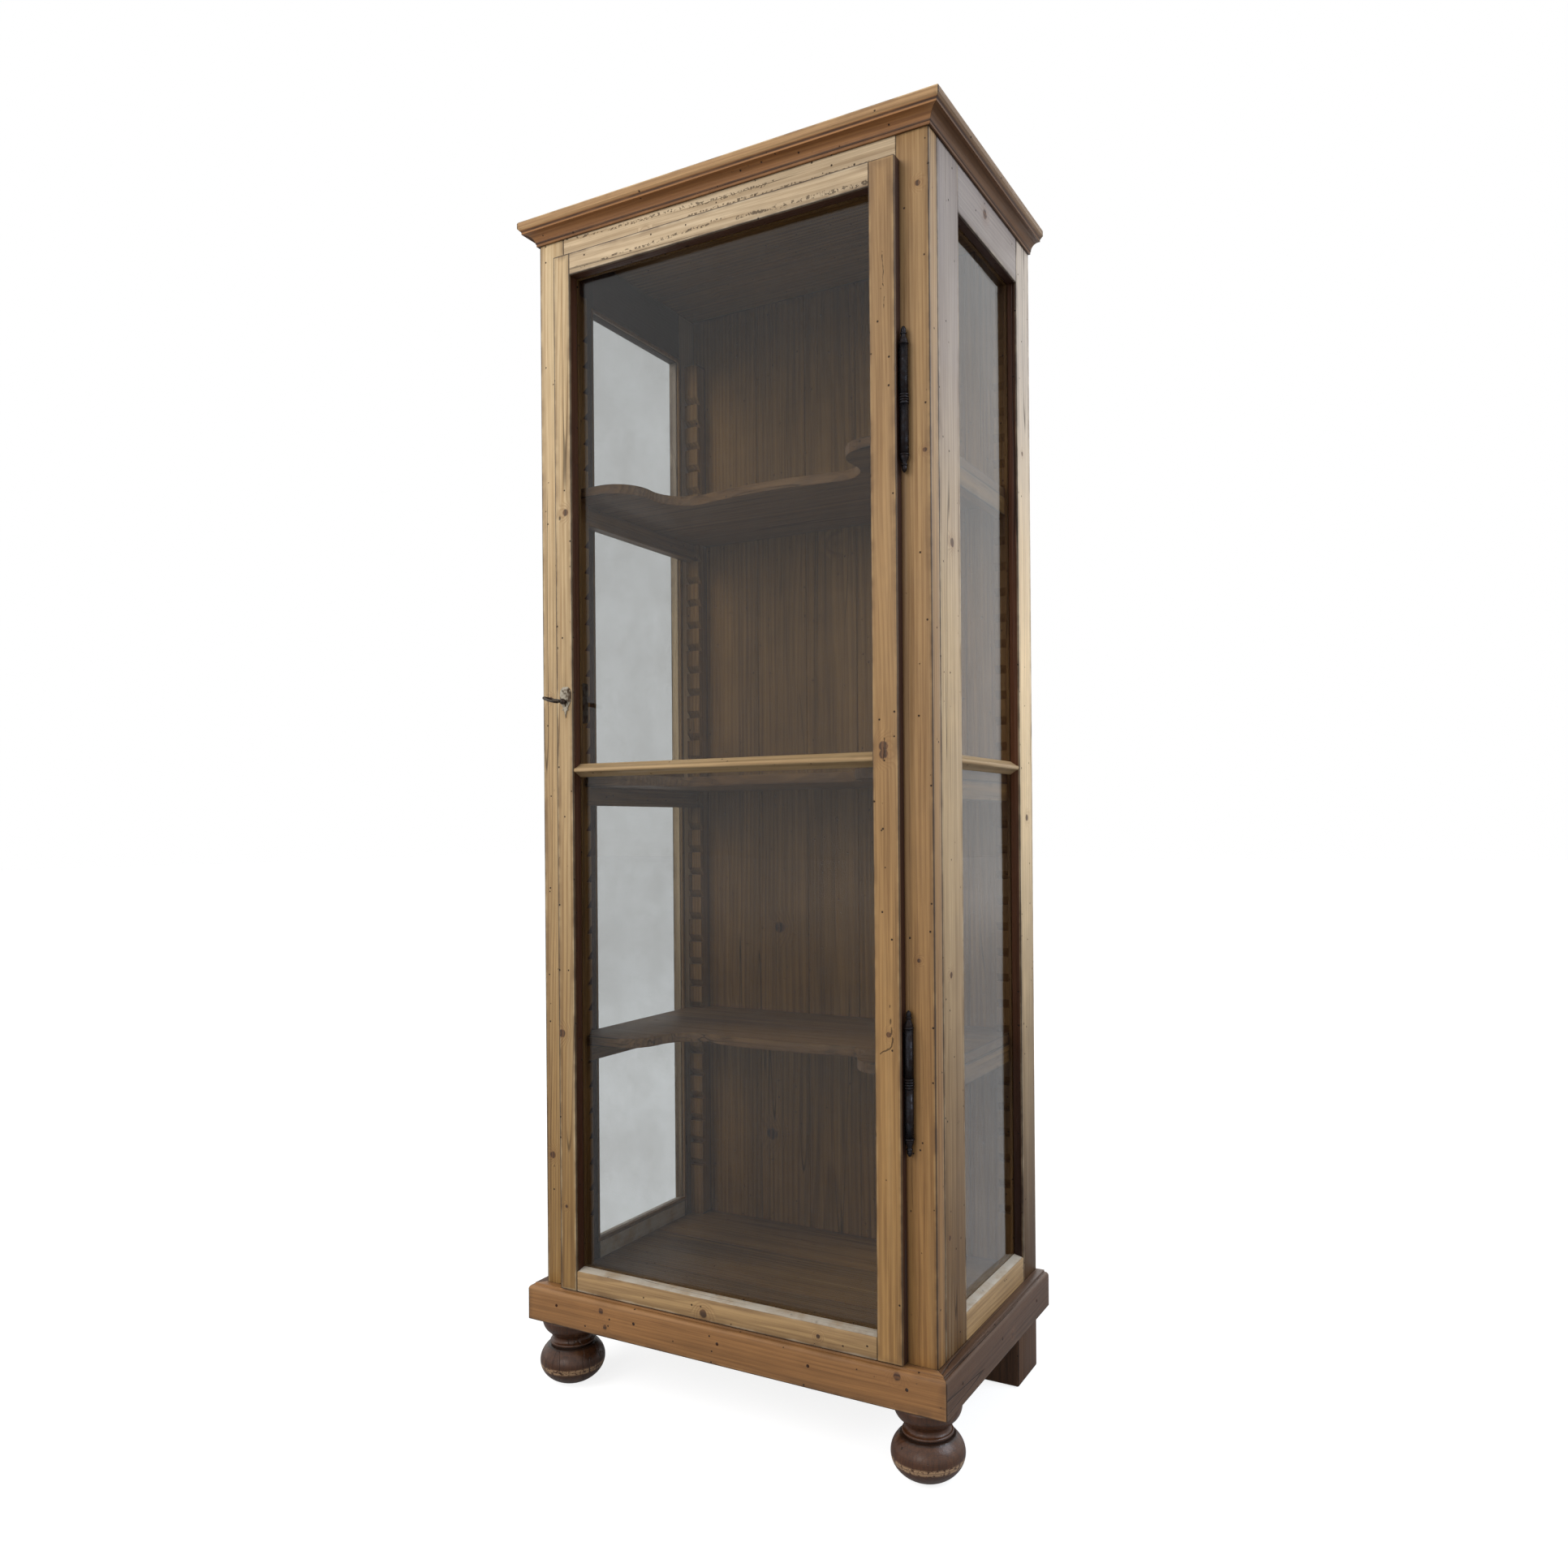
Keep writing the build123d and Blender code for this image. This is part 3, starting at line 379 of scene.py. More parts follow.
    def rings(self) -> tuple[Socket, Socket]:
        """Lay the growth rings round the heart, bent by warp, taper and knots.

        Returns:
            The way through a ring, 0 to 1, and the share of late wood.
        """
        graph, given = self.graph, self.given
        warp = graph.minus(self.grained(7.0, 1.1, 2.0), 0.5)
        ripple = graph.minus(self.grained(55.0, 4.0, 3.0), 0.5)
        x, y, z = graph.parts(graph.vector("SUBTRACT", self.turned, given["Heart"]))
        radius = graph.math("SQRT", graph.plus(graph.times(x, x), graph.times(y, y)))
        radius = graph.scaled(warp, self.RING_WARP, radius)
        radius = graph.scaled(ripple, self.RING_RIPPLE, radius)
        radius = graph.scaled(z, self.RING_TAPER, radius)
        radius = graph.scaled(given["Knot"], self.KNOT_BEND, radius)
        ring = graph.math("FRACT", graph.math("DIVIDE", radius, given["Ring Spacing"]))
        late = graph.times(graph.span(ring, *self.LATE_RISE), graph.span(ring, *self.LATE_FALL))
        patches = graph.span(self.grained(9.0, 0.8, 2.0), *self.LATE_PATCHES)
        return ring, graph.times(graph.times(late, patches), given["Ring Strength"])

    def cracks(self) -> Socket:
        """Open the fine drying cracks, and add the board's own splits.

        Returns:
            The share of crack, 0 to 1.
        """
        graph = self.graph
        line = graph.gap(self.grained(30.0, 0.8, 1.0), 0.5)
        places = graph.span(self.grained(5.0, 2.6, 1.0), *self.CRACK_PLACES)
        crack = graph.times(graph.span(line, *self.CRACK_LINE), places)
        return graph.most(crack, self.given["Split"])

    def holes(self) -> Socket:
        """Bore the worm holes and strike the small dents.

        Returns:
            The share of hole, 0 to 1.
        """
        graph = self.graph
        bored = {"Vector": self.place, "Scale": self.HOLE_SCALE}
        cells = graph.node("ShaderNodeTexVoronoi", bored, feature="F1").outputs
        chosen = graph.result("ShaderNodeSeparateColor", {0: cells["Color"]})
        picked = graph.math("LESS_THAN", chosen, self.given["Hole Share"])
        hole = graph.times(graph.span(cells["Distance"], *self.HOLE_RIM), picked)
        grown = graph.vector("ADD", graph.stretch(self.turned, 26.0, 11.0), graph.times(self.blotch, 0.5))
        dents = graph.node("ShaderNodeTexVoronoi", {"Vector": grown, "Scale": 1.0}, feature="F1").outputs
        struck = graph.node("ShaderNodeSeparateColor", {0: dents["Color"]}).outputs
        size = graph.math("DIVIDE", dents["Distance"], graph.scaled(struck[2], 0.9, 0.35))
        picked = graph.math("LESS_THAN", struck[1], self.DENT_SHARE)
        dent = graph.times(picked, graph.span(size, *self.DENT_RIM))
        return graph.most(hole, dent)

    def wood(self, late: Socket) -> Socket:
        """Mix the colours of early and late wood, streaked, banded and mottled, darker low down partly as painted
        shade, and with a painted reflection near the top.

        Args:
            late: The share of late wood.

        Returns:
            The colour of the sound wood.
        """
        graph, given = self.graph, self.given
        height = graph.parts(self.place)[2]
        # Towards the bottom the colours go over to the lower pair: partly the wood's own tone and partly painted shade.
        lift = graph.span(graph.scaled(self.mottle, 0.25, height), given["Fade Low"], given["Fade High"])
        early = graph.blend(lift, given["Early Wood Below"], given["Early Wood"])
        dark = graph.blend(lift, given["Late Wood Below"], given["Late Wood"])
        colour = graph.blend(graph.times(late, self.LATE_SHARE), early, dark)
        colour = graph.blend(graph.span(self.streak, *self.DARK_STREAKS), colour, dark)
        colour = graph.blend(graph.span(self.band, *self.DARK_BANDS), colour, dark)
        colour = graph.blend(graph.span(self.band, *self.PALE_BANDS), colour, given["Wear"])
        # A painted reflection of the sky, greyed, laid over the upper part.
        painted_reflection = graph.span(graph.scaled(self.mottle, 0.3, height), *self.PAINTED_REFLECTION_HEIGHTS)
        colour = graph.blend(graph.times(painted_reflection, given["Crest Share"]), colour, given["Painted Reflection"])
        light = graph.scaled(self.mottle, 0.5, 0.75)
        light = graph.times(light, graph.scaled(self.blotch, 0.24, 0.88))
        light = graph.times(light, graph.scaled(self.fibre, 0.16, 0.92))
        return graph.blend(1.0, colour, light, "MULTIPLY")

    def worn(self, colour: Socket) -> Socket:
        """Rub the arrises pale, and lay dirt and a dark seam along them.

        Args:
            colour: The colour so far.

        Returns:
            The colour with its edges worn.
        """
        graph, given = self.graph, self.given
        low = graph.vector("SUBTRACT", self.place, given["Low Corner"])
        high = graph.vector("SUBTRACT", given["High Corner"], self.place)
        x, y, z = graph.parts(graph.vector("MINIMUM", low, high))
        edge = graph.most(graph.least(x, y), graph.least(graph.most(x, y), z))
        rubbed = graph.scaled(graph.minus(self.blotch, 0.5), self.RUB_SWAY, edge)
        colour = graph.blend(graph.span(rubbed, *self.RUBBED_ARRIS), colour, given["Wear"])
        grime = graph.scaled(graph.minus(self.mottle, 0.5), self.GRIME_SWAY, edge)
        grime = graph.times(graph.span(grime, *self.GRIME_REACH), graph.span(self.blotch, *self.GRIME_PATCHES))
        colour = graph.blend(grime, colour, tint(*self.GRIME_COLOUR))
        seam = graph.span(graph.scaled(self.blotch, self.SEAM_SWAY, edge), *self.SEAM_REACH)
        return graph.blend(seam, colour, tint(*self.SEAM_COLOUR))

    def shade_reveals(self, colour: Socket) -> Socket:
        """Paint shade on what lies behind the show face, and hardly at all on faces at the rear.

        Args:
            colour: The colour so far.

        Returns:
            The colour with painted shade on its reveals.
        """
        graph, given = self.graph, self.given
        behind = graph.plus(graph.vector("DOT_PRODUCT", self.place, given["Face Normal"]), given["Face Offset"])
        inset = graph.times(graph.span(behind, *self.REVEAL_SHADE_DEPTH), given["Reveal Share"])
        inset = graph.times(inset, graph.span(graph.parts(self.place)[1], *self.REAR_FACES))
        return graph.blend(inset, colour, given["Reveal Shade"], "MULTIPLY")

    def knotted(self, colour: Socket, ring: Socket) -> Socket:
        """Set in the knots, each with its own rings and a darker halo.

        Args:
            colour: The colour so far.
            ring: The way through a ring, 0 to 1.

        Returns:
            The colour with its knots.
        """
        graph, core = self.graph, self.given["Knot Core"]
        swirl = graph.blend(graph.span(ring, *self.KNOT_RINGS), tint(*self.KNOT_COLOUR), tint(*self.KNOT_RING_COLOUR))
        colour = graph.blend(graph.times(core, self.KNOT_SHARE), colour, swirl)
        halo = graph.times(graph.minus(self.given["Knot"], core), self.HALO_SHARE)
        return graph.blend(halo, colour, tint(*self.HALO_COLOUR))

    def build(self) -> None:
        """Join the parts of the pattern to the group's Colour, Roughness and Height."""
        graph = self.graph
        ring, late = self.rings()
        colour = self.knotted(self.shade_reveals(self.worn(self.wood(late))), ring)
        pit = graph.most(graph.times(self.cracks(), self.CRACK_SHARE), self.holes())
        colour = graph.blend(graph.times(pit, self.PIT_SHARE), colour, tint(*self.PIT_COLOUR))
        rough = graph.scaled(self.streak, 0.22, 0.36)
        rough = graph.scaled(pit, 0.3, rough)
        rough = graph.scaled(self.blotch, 0.12, rough)
        relief = graph.scaled(late, 0.45, graph.times(self.streak, 0.5))
        for field, height in ((self.fibre, 0.22), (self.blotch, 0.8), (pit, -2.2), (self.given["Knot Core"], 0.5)):
            relief = graph.scaled(field, height, relief)
        graph.node("NodeGroupOutput", {"Colour": colour, "Roughness": rough, "Height": relief})


@dataclass(frozen=True)
class Tone:
    """The colours of one sort of old pine, above and below (darker below partly as painted shade), the painted shade on
    its reveals, the painted reflection near its top, and how its arrises look.
    """

    early: Triple
    late: Triple
    # The lower pair hold where the board is darker towards the bottom, partly its own tone and partly painted shade.
    early_below: Triple
    late_below: Triple
    # The painted shade multiplied over the faces that lie behind the show face.
    reveal: Triple = (118, 84, 70)
    wear: Triple = (206, 180, 140)
    fade: tuple[float, float] = (0.15, 1.95)
    # The next two give a painted reflection of the sky, greyed, over the upper part, and how strong it is.
    painted_reflection: Triple = (150, 148, 156)
    painted_reflection_share: float = 0.0


# Where a tone's lower colours are darker, that is partly the wood's own tone and partly painted shade.
HONEY = Tone((210, 184, 144), (158, 124, 82), (164, 126, 72), (108, 76, 40), wear=(224, 202, 162))
FRIEZE = Tone((208, 184, 150), (148, 122, 90), (208, 184, 150), (148, 122, 90), wear=(222, 204, 174))
AMBER = Tone((166, 133, 91), (118, 84, 48), (166, 123, 71), (106, 70, 36), wear=(188, 154, 106))
SILL = Tone((172, 142, 102), (122, 92, 58), (180, 146, 100), (118, 88, 56), (255, 252, 244), wear=(214, 202, 180))
DOOR_EDGE = Tone((166, 133, 92), (118, 86, 51), (180, 137, 82), (118, 82, 44), (84, 52, 42), wear=(194, 160, 112))
# The side pine: darker low down partly as painted shade, with a greyed painted reflection of the sky near the top.
FLANK = Tone(
    (204, 176, 136), (150, 120, 84), (116, 84, 48), (74, 50, 28),
    wear=(214, 192, 156), fade=(0.2, 1.3), painted_reflection=(110, 110, 120), painted_reflection_share=0.68,
)
# The same side pine for the rear stiles, painted lighter at mid-height as a painted sheen, darker low down partly as
# painted shade, and with a painted reflection near the top.
FLANK_REAR_SHEEN = Tone(
    (246, 216, 170), (198, 166, 124), (88, 60, 34), (56, 38, 22),
    wear=(242, 218, 180), fade=(0.2, 1.3), painted_reflection=(134, 134, 142), painted_reflection_share=0.6,
)
BASE = Tone((158, 112, 66), (112, 76, 42), (158, 112, 66), (112, 76, 42), wear=(184, 140, 94))
# The plinth's pine darkened as painted shade, for the plinth sides and the rear feet.
BASE_SHADED = Tone((86, 58, 38), (52, 34, 22), (86, 58, 38), (52, 34, 22), wear=(132, 98, 72))
CROWN = Tone((190, 150, 104), (132, 96, 62), (190, 150, 104), (132, 96, 62), (224, 200, 176), wear=(222, 188, 140))
# The cornice's pine darkened as painted shade, for the cornice sides.
CROWN_SHADED_SIDE = Tone((138, 110, 82), (94, 70, 50), (138, 110, 82), (94, 70, 50), (210, 188, 170), wear=(150, 130, 112))
# Darker pine for the inside, its boards and its shelves, partly the inner wood's own tone and partly painted shade.
INNER_SHADED = Tone((160, 122, 68), (98, 68, 34), (142, 104, 54), (80, 54, 25), wear=(160, 126, 78))
SHELF_SHADED = Tone((144, 108, 68), (88, 62, 36), (128, 94, 56), (72, 48, 27), wear=(158, 124, 86))
TURNED = Tone((80, 48, 28), (44, 26, 16), (80, 48, 28), (44, 26, 16), wear=(150, 110, 76))


@dataclass(frozen=True)
class Knot:
    """A knot in a board: its middle and its radius, in metres."""

    x: float
    y: float
    z: float
    radius: float


@dataclass(frozen=True)
class Split:
    """A fine crack or a run of worm tracks between two points, in metres."""

    start: Triple
    end: Triple
    width: float
    broken: float = 0.0


@dataclass(frozen=True)
class Pine:
    """Old waxed pine as it lies in one board."""

    tone: Tone
    grain: Grain
    cut: Cut = Cut.RIFT
    show: Show = Show.NONE
    knots: tuple[Knot, ...] = ()
    splits: tuple[Split, ...] = ()
    spacing: float = 0.0052
    rings: float = 0.8
    holes: float = 0.5
    sheen: float = 0.5
    polish: float = 0.0
    relief: float = 0.0007
    drift: float = 0.009
    knot_bending: Ease = (0.4, 3.4, 1.0, 0.0)
    knot_core: Ease = (0.75, 1.1, 1.0, 0.0)

    def material(self, name: str, low: Vector, high: Vector, turn: int) -> bpy.types.Material:
        """Make the board's own material.

        Args:
            name: The name of the board.
            low: The lowest corner of its box.
            high: The highest corner of its box.
            turn: The board's number, which gives it a stretch of pattern of its own.

        Returns:
            The material.
        """
        made, graph, place = open_material(f"pine_{name}")
        field_reach, core_reach = self.knot_reach(graph, place)
        split_reach = self.split_reach(graph, place)
        shift = Vector((0.37 * turn % 3.1, 0.53 * turn % 2.7, 0.71 * turn % 3.7))
        middle = Matrix.Identity(3)
        middle.rotate(Matrix.Rotation(self.grain.value[1], 3, "Y") @ Matrix.Rotation(self.grain.value[0], 3, "X"))
        heart = middle @ ((low + high) / 2) + shift
        side = self.cut.value * (1 if turn % 2 else -1)
        heart += Vector((side, HEART_DEPTH + HEART_STEP * (turn % 3), -heart.z))
        if self.grain is Grain.UPRIGHT and high.x - low.x < high.y - low.y:
            heart += Vector((HEART_DEPTH - side, side - HEART_DEPTH, 0.0))
        tone = self.tone
        group = graph.node("ShaderNodeGroup", node_tree=bpy.data.node_groups["old_pine_pattern"])
        values = {
            "Place": place,
            "Offset": shift,
            "Turn": self.grain.value,
            "Heart": heart,
            "Low Corner": low,
            "High Corner": high,
            "Face Normal": self.show.value[0],
            "Face Offset": self.show.value[1],
            "Ring Spacing": self.spacing * (0.85 + 0.1 * (turn % 4)),
            "Ring Strength": self.rings,
            "Knot": field_reach,
            "Knot Core": core_reach,
            "Hole Share": self.holes,
            "Split": split_reach,
            "Fade Low": tone.fade[0],
            "Fade High": tone.fade[1],
            "Painted Reflection": tint(*tone.painted_reflection),
            "Crest Share": tone.painted_reflection_share,
            "Reveal Share": 0.0 if self.show is Show.NONE else 1.0,
            "Early Wood": tint(*tone.early),
            "Late Wood": tint(*tone.late),
            "Early Wood Below": tint(*tone.early_below),
            "Late Wood Below": tint(*tone.late_below),
            "Reveal Shade": tint(*tone.reveal),
            "Wear": tint(*tone.wear),
        }
        for key, value in values.items():
            graph.put(group.inputs[key], value)
        dents = {"Height": group.outputs["Height"], "Distance": self.relief, "Strength": 0.8}
        shader = graph.node(
            "ShaderNodeBsdfPrincipled",
            {
                "Base Color": self.finished(graph, place, group.outputs["Colour"]),
                "Roughness": graph.times(group.outputs["Roughness"], 1.0 - self.polish),
                "Normal": graph.result("ShaderNodeBump", dents),
                "Specular IOR Level": self.sheen,
            },
        )
        graph.node("ShaderNodeOutputMaterial", {"Surface": shader.outputs[0]})
        return made

    def finished(self, graph: Graph, place: Socket, colour: Socket) -> Socket:
        """The board's colour after anything that only this sort of board has: here nothing more."""
        return colour

    def split_reach(self, graph: Graph, place: Socket) -> object:
        """Where the board's own splits run.

        Args:
            graph: The tree under construction.
            place: The object coordinates.

        Returns:
            A share of 0 to 1 as an output, or zero where there is no split.
        """
        reach: object = 0.0
        if not self.splits:
            return reach
        wander = graph.node("ShaderNodeTexNoise", {"Vector": place, "Scale": 60.0, "Detail": 2.0}).outputs[1]
        drift = graph.vector("MULTIPLY", graph.vector("SUBTRACT", wander, (0.5,) * 3), (self.drift,) * 3)
        drifted = graph.vector("ADD", place, drift)
        grit = graph.noise(place, 260.0, 2.0, 0.6)
        for split in self.splits:
            start, end = Vector(split.start), Vector(split.end)
            run = end - start
            offset = graph.vector("SUBTRACT", drifted, start)
            along = graph.math("DIVIDE", graph.vector("DOT_PRODUCT", offset, run), run.length_squared)
            along = graph.least(graph.most(along, 0.0), 1.0)
            spot = graph.result("ShaderNodeVectorMath", {0: run, "Scale": along}, operation="SCALE")
            distance = graph.vector("DISTANCE", offset, spot)
            dark = graph.span(distance, split.width * 0.4, split.width, 1.0, 0.0)
            if split.broken > 0:
                dark = graph.times(dark, graph.span(grit, split.broken, split.broken + 0.06))
            reach = graph.most(reach, dark)
        return reach

    def knot_reach(self, graph: Graph, place: Socket) -> tuple[object, object]:
        """How far each knot bends the grain round it, and where its own wood lies.

        Args:
            graph: The tree under construction.
            place: The object coordinates.

        Returns:
            The bending and the core, as outputs, or zeros where there is no knot.
        """
        bending: object = 0.0
        core: object = 0.0
        ragged = graph.noise(place, 130.0, 2.0)
        for knot in self.knots:
            distance = graph.vector("DISTANCE", place, (knot.x, knot.y, knot.z))
            share = graph.math("DIVIDE", distance, knot.radius)
            share = graph.scaled(ragged, 0.5, graph.minus(share, 0.25))
            bending = graph.most(bending, graph.span(share, *self.knot_bending))
            core = graph.most(core, graph.span(share, *self.knot_core))
        return bending, core


@dataclass(frozen=True)
class MouldedPine(Pine):
    """Pine planed to a moulding, darker in its hollows and with a rubbed top edge."""

    hollows: tuple[float, ...] = (1.8688, 1.8848)
    crown: float = 1.9
    hollow_dark_reach: Ease = (0.0006, 0.0022, 0.85, 0.0)
    hollow_dark_patches: Ease = (0.2, 0.6, 0.6, 1.0)
    rub_reach: Ease = (0.0, 0.004, 0.8, 0.0)
    rub_patches: Ease = (0.35, 0.6, 0.0, 1.0)
    hollow_dark_colour: Triple = (52, 34, 24)

    def finished(self, graph: Graph, place: Socket, colour: Socket) -> Socket:
        """Darken the hollows and lighten the rubbed edge."""
        height = graph.parts(place)[2]
        uneven = graph.noise(place, 17.0, 3.0)
        # Darker, patchy bands at the heights of the hollows.
        for hollow in self.hollows:
            hollow_dark = graph.span(graph.gap(height, hollow), *self.hollow_dark_reach)
            hollow_dark = graph.times(hollow_dark, graph.span(uneven, *self.hollow_dark_patches))
            colour = graph.blend(hollow_dark, colour, tint(*self.hollow_dark_colour))
        rubbed = graph.span(graph.gap(height, self.crown), *self.rub_reach)
        rubbed = graph.times(rubbed, graph.span(uneven, *self.rub_patches))
        return graph.blend(rubbed, colour, tint(*self.tone.wear))


@dataclass(frozen=True)
class SillPine(Pine):
    """Pine of a bottom rail, worn grey and bare where its inner edge slopes to the glass."""

    bare: Triple = (204, 196, 182)
    slope: Ease = (0.0008, 0.0028, 0.0, 1.0)
    patches: Ease = (0.3, 0.62, 0.35, 0.85)

    def finished(self, graph: Graph, place: Socket, colour: Socket) -> Socket:
        """Lay the bare grey wood over the slope behind the show face."""
        normal, offset = self.show.value
        behind = graph.plus(graph.vector("DOT_PRODUCT", place, normal), offset)
        patchy = graph.span(graph.noise(place, 26.0, 4.0, 0.65), *self.patches)
        share = graph.times(graph.span(behind, *self.slope), patchy)
        return graph.blend(share, colour, tint(*self.bare))


@dataclass(frozen=True)
class TurnedPine(Pine):
    """Pine turned on a lathe, with dark grooves and a chipped pale band low on the ball."""

    band: float = 0.029
    groove: float = 0.0615
    lathe_lines: Ease = (0.45, 0.75, 0.0, 0.45)
    chip_places: Ease = (0.42, 0.5, 0.0, 1.0)
    band_reach: Ease = (0.002, 0.006, 0.9, 0.0)
    rim_reach: Ease = (0.0002, 0.0009, 0.5, 0.0)
    groove_reach: Ease = (0.001, 0.004, 0.8, 0.0)
    line_colour: Triple = (44, 28, 20)
    chip_colour: Triple = (176, 142, 108)
    rim_colour: Triple = (40, 26, 18)
    groove_colour: Triple = (30, 20, 15)

    def finished(self, graph: Graph, place: Socket, colour: Socket) -> Socket:
        """Add the lathe's fine rings, the darker groove and neck, and the chipped band."""
        height = graph.parts(place)[2]
        lathe = graph.noise(graph.vector("MULTIPLY", place, (6.0, 6.0, 900.0)), 1.0, 3.0)
        colour = graph.blend(graph.span(lathe, *self.lathe_lines), colour, tint(*self.line_colour))
        away = graph.gap(height, self.band)
        chips = graph.span(graph.noise(place, 190.0, 4.0, 0.7), *self.chip_places)
        chips = graph.times(graph.span(away, *self.band_reach), chips)
        colour = graph.blend(chips, colour, tint(*self.chip_colour))
        colour = graph.blend(graph.span(away, *self.rim_reach), colour, tint(*self.rim_colour))
        # Darker at the groove and neck.
        hollow_dark = graph.gap(height, self.groove)
        return graph.blend(graph.span(hollow_dark, *self.groove_reach), colour, tint(*self.groove_colour))


@dataclass(frozen=True)
class OldGlass:
    """Drawn window glass: clear, a little grey, with a slow ripple and a thin film of dust."""

    colour: Triple = (216, 218, 218)
    film: Triple = (205, 206, 205)
    shadow: Triple = (222, 220, 216)
    bend: float = 1.34
    ripple: float = 0.0036
    film_patches: Ease = (0.3, 0.8, 0.0, 1.0)

    def material(self, name: str, low: Vector, high: Vector, turn: int) -> bpy.types.Material:
        """Make the material of one pane, which lets plain light through to the inside."""
        made, graph, place = open_material(f"glass_{name}")
        offset = (0.4 * turn, 0.0, 0.9 * turn)
        shifted = graph.result("ShaderNodeMapping", {"Vector": place, "Location": offset})
        wave = graph.noise(graph.stretch(shifted, 5.0, 2.0), 1.0, 1.0)
        film = graph.span(graph.noise(shifted, 7.0, 4.0, 0.6), *self.film_patches)
        bump = graph.node("ShaderNodeBump", {"Height": wave, "Distance": self.ripple, "Strength": 0.5})
        colour = graph.blend(film, tint(*self.colour), tint(*self.film))
        shader = graph.node(
            "ShaderNodeBsdfPrincipled",
            {
                "Base Color": colour,
                "Roughness": 0.0,
                "IOR": self.bend,
                "Transmission Weight": 1.0,
                "Normal": bump.outputs[0],
            },
        )
        clear = graph.node("ShaderNodeBsdfTransparent", {"Color": tint(*self.shadow)})
        path = graph.node("ShaderNodeLightPath").outputs
        through = graph.most(path["Is Shadow Ray"], path["Is Diffuse Ray"])
        mixed = graph.node("ShaderNodeMixShader", {0: through, 1: shader.outputs[0], 2: clear.outputs[0]})
        graph.node("ShaderNodeOutputMaterial", {"Surface": mixed.outputs[0]})
        return made


@dataclass(frozen=True)
class Metal:
    """A worn metal: its bright and dulled colours, its rust, and how rough and pitted it is."""

    bright: Triple
    dull: Triple
    rust: Triple
    metallic: float = 0.9
    smooth: float = 0.28
    rough: float = 0.55
    rust_share: float = 0.35
    pits: float = 0.0003
    dull_patches: Ease = (0.35, 0.65, 0.0, 1.0)
    rust_from: float = 0.62
    rust_full: float = 0.78

    def material(self, name: str, low: Vector, high: Vector, turn: int) -> bpy.types.Material:
        """Make the material of one metal piece, with wear, rust and small pits."""
        made, graph, place = open_material(f"metal_{name}")
        coarse = graph.noise(place, 95.0, 4.0, 0.65)
        fine = graph.noise(place, 620.0, 3.0, 0.6)
        scratch = graph.noise(graph.vector("MULTIPLY", place, (900.0, 900.0, 90.0)), 1.0, 2.0)
        colour = graph.blend(graph.span(coarse, *self.dull_patches), tint(*self.bright), tint(*self.dull))
        spots = graph.span(graph.scaled(fine, 0.35, coarse), self.rust_from, self.rust_full, 0.0, self.rust_share)
        colour = graph.blend(spots, colour, tint(*self.rust))
        rough = graph.span(coarse, 0.25, 0.75, self.smooth, self.rough)
        rough = graph.scaled(spots, 0.5, rough)
        rough = graph.scaled(scratch, 0.08, rough)
        relief = graph.scaled(fine, 0.5, coarse)
        bump = graph.node("ShaderNodeBump", {"Height": relief, "Distance": self.pits, "Strength": 0.7})
        shader = graph.node(
            "ShaderNodeBsdfPrincipled",
            {"Base Color": colour, "Roughness": rough, "Metallic": self.metallic, "Normal": bump.outputs[0]},
        )
        graph.node("ShaderNodeOutputMaterial", {"Surface": shader.outputs[0]})
        return made


IRON = Metal(
    (46, 45, 49), (22, 21, 24), (52, 36, 28), metallic=0.85, smooth=0.16, rough=0.36, rust_share=0.3, pits=0.00005
)
STEEL = Metal((96, 90, 84), (56, 50, 46), (82, 54, 36), metallic=0.9, smooth=0.3, rough=0.55)
PLATE = Metal((178, 168, 150), (122, 110, 94), (84, 62, 44), metallic=0.6, smooth=0.35, rough=0.6, rust_share=0.7)
CASE = Metal((92, 84, 76), (58, 50, 44), (88, 58, 38), metallic=0.8, smooth=0.4, rough=0.65, rust_share=0.6)
NAIL = Metal((74, 66, 62), (42, 36, 34), (92, 56, 36), metallic=0.7, smooth=0.45, rough=0.7, rust_share=0.8)

Finish = Pine | OldGlass | Metal


